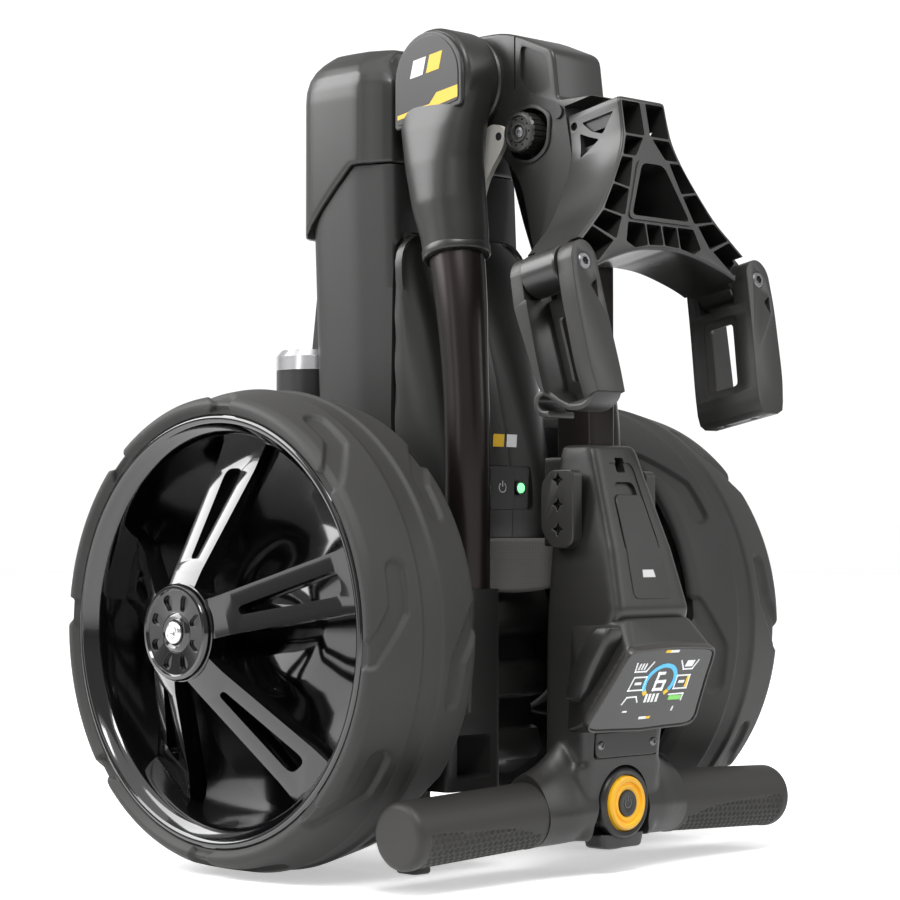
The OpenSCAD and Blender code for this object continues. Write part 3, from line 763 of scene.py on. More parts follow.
def build_cap():
    section = np.array([(0, 57.6), (34, 57.4), (54, 55.8), (63.5, 50), (67.8, 40), (68.8, 22), (67.6, -0.4),
        (67.0, -2.4), (65.8, -4.6), (57.8, -20.8), (50, -23), (30, -23.6), (0, -23.8)])
    rings = []
    middle = np.array((0, 26.0))
    for z in list(np.linspace(382, 478, 14)) + [486, 493, 499, 503.6, 506.8, 508.8, 509.6]:
        front = np.interp(z, [434, 486, 500], [-30, -23, -12])
        shrink = 1 - 0.30 * max(0, (z - 478) / (CAP_TOP - 478)) ** 2.6
        pts = (section - middle) * shrink + middle
        pts[:, 1] = np.maximum(pts[:, 1], front)
        back = np.interp(z, [380, 484, 497, 510], [57.6, 57.6, 52, 38])
        pts[:, 1] = np.minimum(pts[:, 1], back)
        rings.append(half_ring(pts, z, 0))
    body = loft("cap_shell", rings)
    below = prism("below", [(-90, 330), (90, 330), (90, 391.3), (48.3, 391.3), (3.3, 434.7),
                            (-90, 434.7)], "x", -95, 95)
    combine(body, below)
    combine(body, prism("sweep_room", [(-40, 430), (-30, 434), (-17, 446), (-7, 462), (3, 484), (8, 500),
                                       (10, 520), (-40, 520)], "x", -29.5, 29.5))
    melt(body, 1.6, 2)
    low, high = box_mm("front_pivot_pin")
    y, z = (low[1] + high[1]) / 2, (low[2] + high[2]) / 2
    ears = []
    for side in (-1, 1):
        outline = [(54, z - 15), (y, z - 14)]
        outline += [(y + 14 * math.sin(t), z - 14 * math.cos(t)) for t in np.linspace(0, math.pi, 16)]
        outline += [(54, z + 15)]
        ear = prism("ear", outline, "x", side * 14.2, side * 23.8)
        weld(ear)
        combine(ear, rod("bore", 5, -40, 40, (0, y, z), count=40))
        bevel(ear, 0.9, 2, 40)
        apply_modifiers(ear)
        ears.append(ear)
    join(body, ears)
    finish_piece(body, "chassis", CAP_SATIN, "housing_cap")


PACK_FRONT = [(197, -72.2), (206, -72.8), (231, -72.6), (254, -69.2), (270, -65.6), (300, -58.6),
              (330, -50.4), (360, -41.0), (378, -35.8), (389, -31.6)]


def pack_front(z):
    return float(np.interp(z, *np.array(PACK_FRONT).T))


def build_pack():
    """The battery pack: a flat-backed block with a crown that leans back towards its top."""
    wide = PACK_HALF - 0.3
    rings = []
    levels = [197.1, 198.2, 200.5] + list(np.linspace(206, 378, 30)) + [383, 387, 389.4, 390.6]
    for z in levels:
        front = pack_front(z)
        top = math.sqrt(max(0.0, 1 - max(0.0, (z - 371) / 20.0) ** 2)) if z > 371 else 1
        low = min(1, 0.985 + (z - 197) * 0.005)
        w = (wide - 22 + 22 * top) * low
        deep = (-26 - front)
        pts = [(0, -25.5), (w * 0.6, -25.5), (w - 2, -25.5), (w, -28), (w - 0.3, -31 - deep * 0.06),
               (w - 3.2, -26 - deep * 0.46), (w - 9.5, -26 - deep * 0.74), (w - 20, -26 - deep * 0.9),
               (w - 34, -26 - deep * 0.97), (0, front)]
        rings.append(half_ring(pts, z, 0, 96))
    body = loft("pack_shell", rings)
    core = block("core", (-49.4, -27, 197.3), (49.4, 23.4, 390.7))
    combine(body, core, "UNION")
    recess = prism("recess", rounded(rect(-19.6, 217.8, 19.6, 245.2),
                                     3.5, 6), "y", -90, -69.0)
    combine(body, recess)
    bevel(body, 0.7, 2, 40)
    shade_by_angle(body, 40)
    finish_piece(body, "battery", CHARCOAL_SATIN, "battery_pack")

    low, high = box_mm("power_button")
    button = prism("power_key", rounded(rect(low[0], low[2], high[0], high[2]), 2.5, 5), "y", low[1], high[1])
    bevel(button, 0.5, 3, 50)
    finish_piece(button, "power_switch", SATIN_BLACK, "power_button")
    mark = power_mark("power_mark", ((low[0] + high[0]) / 2, low[1] - 0.05,
                                     (low[2] + high[2]) / 2), 3.4)
    finish_piece(mark, "power_switch", MARK_WHITE)
    low, high = box_mm("power_led")
    lamp = lathe("lamp_lens", [(0, low[1] - 0.2), (2.0, low[1]), (3.0, low[1] + 0.7),
                               (3.2, high[1]), (0, high[1])],
                 ((low[0] + high[0]) / 2, 0, (low[2] + high[2]) / 2), "y", 48, closed=False)
    finish_piece(lamp, "battery", GREEN_LAMP, "power_led")
    ring = lathe("lamp_ring", [(3.3, -69.2), (4.6, -69.2), (4.6, -71.2), (3.9, -71.8), (3.3, -71.2)],
                 ((low[0] + high[0]) / 2, 0, (low[2] + high[2]) / 2), "y", 48)
    finish_piece(ring, "battery", SATIN_BLACK)
    build_pack_marks()


def power_mark(name, centre, r):
    """A plain power symbol: an open ring and a short bar, raised by a tenth of a millimetre."""
    x, y, z = centre
    ring = []
    for t in np.linspace(math.radians(125), math.radians(415), 40):
        for rr in (r, r - 0.75):
            for d in (0, 0.3):
                ring.append((x + rr * math.cos(t), y + d, z + rr * math.sin(t)))
    faces = []
    for k in range(39):
        a, b = 4 * k, 4 * k + 4
        faces += [(a, a + 2, b + 2, b), (a + 1, b + 1, b + 3, a + 3), (a, b, b + 1, a + 1),
                  (a + 2, a + 3, b + 3, b + 2)]
    faces += [(0, 1, 3, 2), (156, 158, 159, 157)]
    obj = mesh_object(name, ring, faces)
    bar = block("bar", (x - 0.38, y, z + 0.6), (x + 0.38, y + 0.3, z + r + 0.9))
    return join(obj, [bar])


def build_pack_marks():
    """Plain marks in place of lettering, laid on the pack's curved face."""
    def quad(name, corners, mat, slot):
        pts, proud = [], 0.25
        for d in (0.5, -proud):
            pts += [(x, pack_front(z) + d, z) for x, z in corners]
        n = len(corners)
        faces = [tuple(range(n)), tuple(range(n, 2 * n))]
        faces += [(i, (i + 1) % n, n + (i + 1) % n, n + i) for i in range(n)]
        obj = mesh_object(name, pts, faces, smooth=False)
        finish_piece(obj, "battery", mat)
    quad("pack_mark_a", [(-13, 257), (-4, 257), (-1.5, 265), (-10.5, 265)], MARK_YELLOW,
         "yellow_plastic")
    quad("pack_mark_b", [(-1.5, 257), (7.5, 257), (10, 265), (1, 265)], MARK_WHITE, "bright_metal")
    quad("pack_mark_c", [(-4, 352), (3, 352), (5, 358.5), (-2, 358.5)], MARK_YELLOW,
         "yellow_plastic")


def build_pull_tab():
    low, high = box_mm("pull_tab")
    cols, rows = 41, 13
    half = (high[0] - low[0]) / 2
    pts = []
    for front in (0, 1):
        for i in range(rows):
            for j in range(cols):
                u = j / (cols - 1) * 2 - 1
                v = i / (rows - 1)
                x = u * half * (0.985 if v < 0.2 else 1)
                z = low[2] + (high[2] - low[2]) * v + (u * u * 3.0 + 0.2) * (1 - v)
                y = high[1] - 0.1 if front == 0 else low[1] + 0.15
                y += 0.35 * u * u * (1 if front else 0)
                pts.append((x, y, z))
    n = rows * cols
    faces = grid_faces(rows, cols, wrap_cols=False)
    faces += [tuple(n + k for k in f) for f in grid_faces(rows, cols, wrap_cols=False)]
    rim = [j for j in range(cols)] + [i * cols + cols - 1 for i in range(1, rows)]
    rim += [(rows - 1) * cols + j for j in range(cols - 2, -1, -1)]
    rim += [i * cols for i in range(rows - 2, 0, -1)]
    faces += [(a, b, b + n, a + n) for a, b in zip(rim, rim[1:] + rim[:1])]
    tab = mesh_object("pull_webbing", pts, faces)
    finish_piece(tab, "battery", WEBBING, "pull_tab")


def build_sockets():
    """The tube sockets: a square column with a window, a collar for the tube and a foot."""
    path = [(60, -91, 104), (60, -91, 172)]
    column = loft("socket_block_right", [
        [(x, y, z) for x, y in rounded([(46.4, -64.4), (46.4, -106.6), (right, -106.6),
                                        (right, -64.4)], 4.5, 5)]
        for z, right in ((50.3, 92), (92, 92), (97, 75), (133, 74.4), (168.4, 73.6), (169.7, 73))])
    foot = loft("foot", [[(x, y, z) for x, y in rounded([(80 + g, -64.4 - g), (80 + g, -81.6 + g),
                                                         (94.7 - g, -81.6 + g), (94.7 - g, -64.4 - g)],
                                                        3, 4)]
                         for z, g in ((0.1, 0.8), (1.2, 0), (60, 0))])
    combine(column, foot, "UNION")
    window = prism("window", rounded(rect(55.5, 57.5, 84.5, 83.5), 2.5, 4),
                   "y", -112, -60)
    combine(column, window)
    bore = sweep("bore", path, 14.15, 64)
    combine(column, bore)
    bevel(column, 0.9, 2, 40)
    shade_by_angle(column, 45)
    finish_pair(column, "socket_block_left", BOTH_ON_CHASSIS, CHARCOAL, "tube_socket")


def build_axle_casing():
    """A banded casing round the axle, whose bands bow forward in the middle."""
    low, high = box_mm("axle_housing")
    front = [(-44, 58.4), (-46.4, 61), (-46.6, 74), (-45.4, 77.4), (-40, 79), (-39.4, 95), (-40.4, 97.4),
             (-49, 99), (-51.4, 101.4), (-51.8, 110), (-51.4, 118.6), (-49, 121), (-43, 122.6), (-42.4, 134),
             (-45, 137.4), (-50.6, 140), (-54, 145), (-55.6, 152), (-55, 160), (-51.6, 167.6), (-45, 173.4),
             (-38, 178), (-34, 185.4)]
    profile = front + [(34, 185.4), (43.6, 168), (43.6, 82), (30, 58.4)]
    rings = []
    for x in np.linspace(low[0] + 0.2, high[0] - 0.2, 25):
        back = 9 * (abs(x) / 62) ** 2.4
        rings.append([(x, y + back if y < 0 else y, z) for y, z in profile])
    casing = loft("axle_casing", rings)
    bore = rod("bore", 22, -70, 70, AXLE, count=64)
    combine(casing, bore)
    shade_by_angle(casing, 42)
    finish_piece(casing, "chassis", CASING, "axle_housing")


def build_gear_hubs():
    """The gear casings that fill the middle of each wheel."""
    hub = lathe("gear_hub_right", [(6.1, 94.8), (18.6, 94.8), (19.8, 93.4), (20, 89.4), (36, 88.6),
        (40, 87.2), (42, 85.2), (54, 82.2), (58.4, 79.6), (59.8, 77), (59.8, 69.4), (58.6, 67.5),
        (21.9, 67.5), (21.9, 40), (6.1, 40)], AXLE, count=128)
    cuts = []
    for k in range(10):
        t = TAU * (k + 0.5) / 10
        cuts.append(rod("dimple", 2.6, 81, 92, (0, 48 * math.cos(t), WHEEL_R + 48 * math.sin(t)), "x", 20))
    combine(hub, join(cuts[0], cuts[1:]))
    shade_by_angle(hub, 35)
    finish_pair(hub, "gear_hub_left", BOTH_ON_CHASSIS, GEARBOX, "gearbox")


# ---------- handle ----------
DISPLAY_LOW, DISPLAY_HIGH = box_mm("display_bezel")
DISPLAY_MID = (DISPLAY_LOW + DISPLAY_HIGH) / 2 + (0, -0.15, 0.5)
DISPLAY_TILT = math.radians(30)
GLASS_Y = -1.6


def to_display(obj):
    obj.data.transform(Matrix.Translation(Vector(DISPLAY_MID) * MM)
                       @ Matrix.Rotation(DISPLAY_TILT, 4, "X"))
    return obj


def front_y(z):
    """The handle's front face."""
    return float(np.interp(z, [60, 90, 120, 158, 194, 224, 256],
                           [-164, -166, -176, -188.3, -178.6, -167.6, -156.5]))


def handle_ring(z, half, front, back, corner=5.0, back_half=None):
    b = back_half or half
    pts = rounded([(-half, front), (half, front), (b, back), (-b, back)],
                  [corner, corner, 3, 3], 6)
    return [(x, y, z) for x, y in pts]


def build_handle():
    levels = []
    for z in (65, 80, 90, 104, 120, 134, 146, 158, 170, 182, 194, 209, 224, 240, 250, 254.5, 256):
        half = float(np.interp(z, [65, 90, 134, 158, 194, 224, 256], [33.5, 35.5, 35.5, 33.6, 29, 25, 21]))
        back = float(np.interp(z, [65, 90, 151, 194, 224, 256], [37.5, 37.3, 36.2, 32, 27.5, 23.5]))
        drop = 0 if z < 254 else (z - 254) * 0.7
        levels.append(handle_ring(z, half - drop, front_y(z) + drop, -133.2 - drop, 5.5, back - drop))
    body = loft("handle_shell", levels)
    spine = prism("spine", rect(-16.5, -150, 16.5, -114), "z", 195, 249)
    block = loft("block", [handle_ring(z, h, f, -125.4, 7) for z, h, f in
                           ((21, 32, -160.5), (24, 33.4, -162.4), (45, 35.5, -163), (66, 37.2, -164.2))])
    arms = []
    for side in (-1, 1):
        rings = []
        for x, up, deep, mid in ((20, 41, 20.5, -144.2), (38.5, 41, 20.5, -144.2), (44, 35.6, 20.2, -143.8),
                                 (50, 30.5, 20, -143), (56, 27, 19.8, -142.2), (63, 24.2, 19.6, -141.6),
                                 (70, 22.2, 19.5, -141.2), (78, 20.6, 19.5, -141), (92, 19.2, 19.2, -141)):
            centre = BAR_Z - x * math.tan(BAR_DROOP)
            ring = []
            for t in np.arange(56) * TAU / 56:
                c, s = math.cos(t), math.sin(t)
                thin = 1 - 0.42 * max(s, 0) * min(1, (up - 19.2) / 14)
                ring.append((side * x, mid + deep * c * thin, centre + s * (up if s > 0 else 19.2)))
            rings.append(ring)
        arms.append(loft("arm", rings))
    join(body, [spine, block] + arms)
    melt(body, 1.5, 10)
    for side in (-1, 1):
        sleeve = grip_frame(rod("sleeve", 40, 62.4, 120, (0, 0, 0), "z", 64), side)
        combine(body, sleeve)
    rail_low, rail_high = MAST_LOW - 0.3, MAST_HIGH + 0.3
    rail = prism("rail", rect(rail_low[0], rail_low[1], rail_high[0], rail_high[1]), "z", 60, 300)
    combine(body, rail)
    arch = [(22.8 * math.cos(t), 42 + 22.8 * math.sin(t)) for t in np.linspace(0, math.pi, 40)]
    arch += [(-25, 34), (-29, 14), (26, 14), (23, 34)]
    combine(body, prism("arch", arch, "y", -175, -153))
    combine(body, face_patch("inset", [(191.5, 11), (192.4, 14), (194.5, 15.8), (200, 15.8), (224, 13.6),
                                       (238, 12.4), (241.6, 11.8), (244, 10.6), (245.4, 8.6)], -8, 0.8))
    combine(body, face_patch("scoop", [(222, 9.8), (229, 9.6), (231.4, 9), (233, 7.6), (233.8, 5.6)], -8,
        3.2))
    slot = prism("slot", rounded(rect(-3.4, 239.5, 4.4, 248.5), 1.2, 4), "y",
                 -170, -152)
    combine(body, slot)
    plate_bed = prism("bed", rounded(rect(-28.6, 69.4, 28.6, 86), 1.5, 3), "y",
                      -190, -163.2)
    combine(body, plate_bed)
    shade_by_angle(body, 38)
    finish_piece(body, "handle", HANDLE, ("handle_body", "grip_bar"))

    slider = face_patch("latch_slider", [(164.4, 12.6), (164.8, 14.6), (166, 16.2), (168, 17), (180, 16.2),
                                         (200, 14.4), (220, 12.6), (223.6, 12), (225.4, 10.6), (226.2, 8.6)],
                        -0.55, 2.6)
    bevel(slider, 0.4, 2, 60)
    shade_by_angle(slider, 40)
    finish_piece(slider, "handle", CHARCOAL_SATIN, "handle_cover")
    build_handle_marks()


def face_patch(name, widths, top, depth):
    """A solid that follows the handle's front face, from pairs of height and half width."""
    cols = 13
    rings = []
    for z, w in widths:
        xs = np.linspace(-w, w, cols)
        rings.append([(x, front_y(z) + top, z) for x in xs] + [(x, front_y(z) + depth, z) for x in xs[::-1]])
    steps = []
    for a, b in zip(rings, rings[1:]):
        a, b = np.array(a), np.array(b)
        n = max(1, int((b[0, 2] - a[0, 2]) / 3))
        steps += [a + (b - a) * k / n for k in range(n)]
    out = []
    for ring in steps + [np.array(rings[-1])]:
        y = front_y(ring[0, 2])
        ring = ring.copy()
        ring[:cols, 1], ring[cols:, 1] = y + top, y + depth
        out.append(ring)
    return loft(name, out)


def build_handle_marks():
    def mark(name, corners, mat, slot):
        rings = [[(x, front_y(z) + d, z) for x, z in corners] for d in (1.3, 0.95)]
        obj = loft(name, rings, smooth=False)
        finish_piece(obj, "handle", mat)
    mark("handle_mark_a", [(-8.6, 240.2), (-3.8, 240.2), (-3.8, 234.8), (-9.6, 234.8)], MARK_YELLOW,
         "yellow_plastic")
    mark("handle_mark_b", [(4.6, 240.2), (8.6, 240.2), (9.6, 234.8), (4.6, 234.8)], MARK_WHITE,
         "bright_metal")
    rings = [[(x, front_y(z) + d, z) for x, z in [(-5.6, 177), (5.8, 177), (5.0, 181.5), (-4.8, 181.5)]]
             for d in (0.2, -0.62)]
    obj = loft("handle_mark_c", rings, smooth=False)
    finish_piece(obj, "handle", MARK_WHITE)


def screen_outline(grow):
    """The display's outline in its own plane: wide and slightly bowed at the bottom."""
    half = [(0, -27.4 - grow), (24, -26.4 - grow), (43 + grow, -25.6 - grow), (48.4 + grow, -21),
            (46.6 + grow, -11), (42.4 + grow, 8), (40.0 + grow, 21), (36.5 + grow, 27.6 + grow),
            (24, 29.4 + grow), (0, 30.4 + grow)]
    half = np.array(half, float)
    full = np.vstack([half, (half * (-1, 1))[::-1][1:-1]])
    return smooth_path(np.vstack([full, full[:1]]), 5)[:-1]


def build_display():
    hull_points = []
    for x, y in rounded([(-33.6, -190.4), (33.6, -190.4), (34.5, -150), (-34.5, -150)], [9, 9, 2, 2], 6):
        hull_points.append((x, y, 155.4 - 0.0035 * x * x))
    for x, y in rounded([(-36.0, -166.3), (36.0, -166.3), (36.5, -150), (-36.5, -150)], [6, 6, 2, 2], 6):
        hull_points.append((x, y, 85.5))
    local = [(x, 1.5, z) for x, z in screen_outline(0.6)]
    place = Matrix.Translation(Vector(DISPLAY_MID)) @ Matrix.Rotation(DISPLAY_TILT, 4, "X")
    hull_points += [tuple(place @ Vector(p)) for p in local]
    hood = mesh_object("display_hood", hull_points, [])
    bm = bmesh.new()
    bm.from_mesh(hood.data)
    bmesh.ops.convex_hull(bm, input=bm.verts)
    bmesh.ops.delete(bm, geom=[v for v in bm.verts if not v.link_faces], context="VERTS")
    bm.to_mesh(hood.data)
    bm.free()
    melt(hood, 1.2, 5)
    trim = to_display(prism("trim", screen_outline(0.5).tolist(), "y", -9, 0.4))
    combine(hood, trim)
    shade_by_angle(hood, 40)
    outer, inner = screen_outline(0.9), screen_outline(-0.9)
    rings = [[(x, y, z) for x, z in outline] for outline, y in
             ((outer, 2.0), (outer, -1.4), (screen_outline(0.5), -2.4), (screen_outline(-0.5), -2.4),
              (inner, -1.7), (inner, 2.0))]
    rim = to_display(loft("display_rim", rings, closed=True))
    shade_by_angle(rim, 50)
    glass = to_display(prism("display_screen", screen_outline(-0.95).tolist(), "y", GLASS_Y, 1.8))
    bevel(glass, 0.35, 2, 50)
    shade_by_angle(glass, 40)
    finish_piece(hood, "handle", HANDLE, "display_bezel")
    finish_piece(rim, "handle", HANDLE_EDGE)
    finish_piece(glass, "handle", SCREEN, "display_glass")
    build_screen_marks()

    lever = loft("side_lever_arm", [[(x, y, z) for x, y in rounded(
        rect(-41 - w, f, -38, f + d), [3.2, 1, 1, 3.2], 4)]
        for z, w, f, d in ((104.4, 4, -170, 9), (106.5, 8.5, -173.5, 13.5), (112, 10.6, -178, 15.6),
                           (128, 12.4, -187.4, 16.4), (144, 10.4, -195.2, 15.2), (148.2, 8.4, -195.0, 11.5),
                           (149.6, 6, -193.6, 8))])
    bevel(lever, 0.8, 2, 35)
    shade_by_angle(lever, 40)
    finish_piece(lever, "handle", CHARCOAL_SATIN, "clamp_lever")
    plate = prism("screw_cover", rounded(rect(-28, 70, 28, 85.2), [4, 4, 1, 1], 4),
                  "y", -166.3, -161.5)
    bevel(plate, 0.7, 3, 40)
    shade_by_angle(plate, 40)
    finish_piece(plate, "handle", CHARCOAL_SATIN, "screw_plate")
    screws = []
    low, high = box_mm("handle_screws")
    for x in (low[0] + 2.55, high[0] - 2.55):
        head = lathe("dome_screws", [(0, -167.6), (1.4, -167.5), (2.4, -166.9), (2.9, -166.1), (2.9, -164),
                                     (0, -164)], (x, 0, (low[2] + high[2]) / 2), "y", 40, closed=False)
        socket = lathe("socket", [(0, -169), (1.25, -169), (1.25, -166.6), (0, -166.2)],
                       (x, 0, (low[2] + high[2]) / 2), "y", 6, closed=False)
        combine(head, socket)
        screws.append(head)
    screws = join(screws[0], screws[1:])
    shade_by_angle(screws, 40)
    finish_piece(screws, "handle", GREY_METAL, "handle_screws")


def build_screen_marks():
    """The lit marks on the screen: a round gauge with a figure, and plain outlined boxes."""
    lift = (GLASS_Y - 0.22, GLASS_Y + 0.1)

    def fill(outline):
        return to_display(prism("mark", outline, "y", *lift))

    def stroke(points, width=0.8, closed=False):
        pts = [np.array(p, float) for p in points]
        pairs = list(zip(pts, pts[1:] + pts[:1] if closed else pts[1:]))
        out = []
        for a, b in pairs:
            d = (b - a) / np.linalg.norm(b - a) * width / 2
            n = np.array((-d[1], d[0]))
            out.append(fill([a - d + n, b + d + n, b + d - n, a - d - n]))
        return out

    def arc(start, end, outer, inner, count=40):
        t = np.radians(np.linspace(start, end, count))
        c = np.array((-0.6, 6.6))
        out = []
        for a, b in zip(t, t[1:]):
            quad = [c + np.array((math.cos(q) * 1.10, math.sin(q) * 0.95)) * r
                    for q, r in ((a, outer), (b, outer), (b, inner), (a, inner))]
            out.append(fill(quad))
        return out

    def group(name, pieces, mat):
        obj = join(pieces[0], pieces[1:])
        obj.name = name
        finish_piece(obj, "handle", mat)

    group("screen_gauge", arc(-32, 212, 13.2, 10.4), UI_CYAN)
    group("screen_gauge_ends", arc(-50, -34, 13.2, 10.4, 8) + arc(214, 230, 13.2, 10.4, 8), UI_YELLOW)
    six = [(-0.2, 12.4), (-5.0, 12.4), (-5.6, 1.2), (1.8, 1.2), (2.4, 6.6), (-5.2, 6.6)]
    six = [(x + 0.9 + (12 - z) * 0.12, z) for x, z in six]
    white = stroke(six, 1.9)
    white += stroke([(-25.5, 10.4), (-14.5, 10.4), (-13.5, 1.4), (-26.5, 1.4)], 0.9, True)
    white += stroke([(-22, 6), (-18, 6)], 1.7)
    white += stroke([(13.6, 10.2), (25.2, 10.2), (27, 1.0), (15, 1.0)], 0.9, True)
    white += stroke([(18, 5.8), (21.5, 5.8)], 1.7)
    white += stroke([(-28.4, 20.2), (-27.4, 14.4), (-17.5, 14.4), (-13.6, 20.6)], 0.9)
    for x in (-25.2, -22.6, -20):
        white += stroke([(x, 16.2), (x + 0.4, 19.4)], 1.1)
    white += stroke([(11.6, 20.6), (16.5, 14.6), (24.6, 14.6), (27.4, 20.6)], 0.9)
    white += [fill([(16.6, 16.4), (23.4, 16.4), (24.2, 20.6), (17.4, 20.6)])]
    white += stroke([(-26.6, -8), (-24.6, -3.4), (-16.4, -3.2), (-13.5, -7)], 0.9)
    white += stroke([(13.2, -3), (26.4, -2.8), (27, -7.4)], 0.9)
    for x in (-6.6, -3.4, -0.2, 3.4):
        white += stroke([(x, -6.6), (x - 0.5, -2.8)], 1.9)
    white += stroke([(-22.6, -13.4), (-19.6, -13.4)], 1.0)
    white += stroke([(22.4, -14.4), (22.4, -12.2)], 1.0)
    white += stroke([(-1.8, 27.6), (4.2, 27.6)], 1.6)
    white += stroke([(-4.4, -18.6), (0.4, -18.6)], 1.6)
    group("screen_marks", white, UI_WHITE)
    group("screen_yellow", [fill([(24.4, 1.8), (26.4, 1.8), (25.2, 9.6), (23.4, 9.6)]),
                            fill([(-7.2, 26.8), (-2.6, 26.8), (-1.9, 28.6), (-6.5, 28.6)]),
                            fill([(1.4, -19.4), (4.6, -19.4), (5, -17.8), (1.8, -17.8)])], UI_YELLOW)
    group("screen_green", [fill([(14.4, -6.8), (25.8, -7), (25.4, -4), (14.2, -3.9)])], UI_GREEN)


def grip_frame(obj, side):
    """Moves a piece drawn along +Z out along the drooping grip bar."""
    spin = Matrix.Rotation(side * (math.pi / 2) + side * BAR_DROOP, 4, "Y")
    obj.data.transform(Matrix.Translation(Vector((0, BAR_Y, BAR_Z)) * MM) @ spin)
    return obj


def build_grips():
    length = GRIP_END
    stations = list(np.arange(GRIP_START, length - 5, 0.65))
    count = 190
    t = np.arange(count) * TAU / count
    pitch = 4.5
    for side in (-1, 1):
        rings = [np.stack([np.full(count, 0.0) + 14.1 * np.cos(t), 14.1 * np.sin(t),
                           np.full(count, GRIP_START)], -1)]
        for a in stations:
            arc = t * GRIP_R
            u, v = a / pitch, arc / (pitch * math.sqrt(3) / 2)
            best = np.full(count, 9.0)
            for row in (np.floor(v), np.floor(v) + 1):
                shift = (row % 2) / 2
                near = np.round(u - shift) + shift
                d = np.hypot((u - near) * pitch, (v - row) * pitch * math.sqrt(3) / 2)
                best = np.minimum(best, d)
            y, z = np.sin(t), -np.cos(t) * side
            front = np.degrees(np.arctan2(-z, -y))
            limit = np.interp(a, [70, 90, 152, 162], [26, 8, -6, -6])
            zone = ease(limit - 1, limit + 2, front) * ease(172, 168, front)
            zone = zone * ease(66, 69, a) * ease(length - 8, length - 11, a)
            depth = zone * (0.35 + 0.85 * ease(1.9, 1.25, best))
            r = GRIP_R - depth
            rings.append(np.stack([r * np.cos(t), r * np.sin(t), np.full(count, a)], -1))
        for k in range(1, 9):
            q = k / 8 * math.pi / 2
            a, r = length - 5 + 4.6 * math.sin(q), GRIP_R - 4.6 * (1 - math.cos(q))
            rings.append(np.stack([r * np.cos(t), r * np.sin(t), np.full(count, a)], -1))
        rings.append(np.stack([5 * np.cos(t), 5 * np.sin(t), np.full(count, length - 0.3)], -1))
        name = "left" if side < 0 else "right"
        grip = grip_frame(loft("hex_grip_" + name, rings), side)
        shade_by_angle(grip, 50)
        finish_piece(grip, "handle", GRIP, "grip_" + name)


def build_dial():
    x, z = DIAL[0], DIAL[2]
    barrel = lathe("dial_barrel", [(14, -158.2), (21.2, -158.2), (21.6, -160), (21.4, -163.2), (20.6, -165),
                                   (19.2, -165.8), (17.2, -165.4), (16.8, -164.2), (16.8, -161),
                                   (14, -161)], (x, 0, z), "y", 120)
    shade_by_angle(barrel, 40)
    finish_piece(barrel, "handle", SATIN_BLACK, "dial_mount")
    tail = lathe("dial_casing", [(13, -158.2), (20.6, -158.2), (21, -157), (20.2, -153.4), (13, -153.2)],
                 (x, 0, z), "y", 96)
    foot = loft("foot", [[(a, b, c) for a, b in rounded(rect(-w, -163.2, w, -147),
                                                        3, 4)] for c, w in ((15.4, 15.5), (16.6, 17.5),
                                                                           (24, 19.5))])
    join(tail, [foot])
    bevel(tail, 0.6, 2, 40)
    shade_by_angle(tail, 40)
    finish_piece(tail, "handle", SATIN_BLACK)
    ring = lathe("dial_yellow_ring", [(8.2, -164), (8.2, -166.2), (9.2, -166.7), (10.6, -166.7),
                                      (11.2, -165.7), (12.2, -165.7), (12.8, -167.3), (14.9, -167.4),
                                      (16.0, -166.6), (16.3, -165), (16.3, -161), (8.2, -161)],
                 (x, 0, z), "y", 144)
    notch = []
    for k in range(48):
        t = TAU * k / 48
        c = rod("notch", 0.42, -170, -164, (16.55 * math.cos(t), 0, z + 16.55 * math.sin(t)), "y", 8)
        notch.append(c)
    combine(ring, join(notch[0], notch[1:]))
    shade_by_angle(ring, 35)
    # The ring's material carries a painted glow (emission), not a lamp.
    finish_piece(ring, "dial", YELLOW, "dial_ring")
    button = lathe("dial_key", [(0, -166.5), (4, -166.6), (6.6, -167.2), (7.6, -167.0), (8.0, -166),
        (8, -164.4), (0, -164.4)], (x, 0, z), "y", 96, closed=False)
    shade_by_angle(button, 45)
    finish_piece(button, "dial_push", CHARCOAL_SATIN, "dial_button")
    mark = power_mark("dial_mark", (x, -166.85, z), 3.2)
    finish_piece(mark, "dial_push", MARK_GREY)


def star(y, z, r):
    pts = []
    for k in range(8):
        a, q = TAU * k / 8, r if k % 2 == 0 else r * 0.46
        pts.append((y + q * math.cos(a), z + q * math.sin(a)))
    return pts


def build_cheeks():
    x0, x1 = 29.5, box_mm("side_cheeks")[1][0] - 0.1
    outline = rounded([(-156.8, 240.8), (-139, 240.8), (-131.2, 233), (-131.2, 204.5), (-140, 194.2),
                       (-152, 194.2), (-156.8, 198)], 4, 5)
    plate = prism("cheek_right", outline, "x", x0, x1)
    for z in (235, 220.3, 205.5):
        combine(plate, prism("hole", star(-144.5, z, 4.3), "x", x1 - 4.5, x1 + 4))
    bevel(plate, 1.1, 3, 40)
    shade_by_angle(plate, 45)
    twin = mirrored(plate, "cheek_left")
    finish_piece(plate, "handle", HANDLE_LIGHT, "side_cheeks")
    finish_piece(twin, "handle", HANDLE_LIGHT)


# ---------- mast, lock and lever ----------
LEVER_PIVOT = (0, -85.5, 447.5)


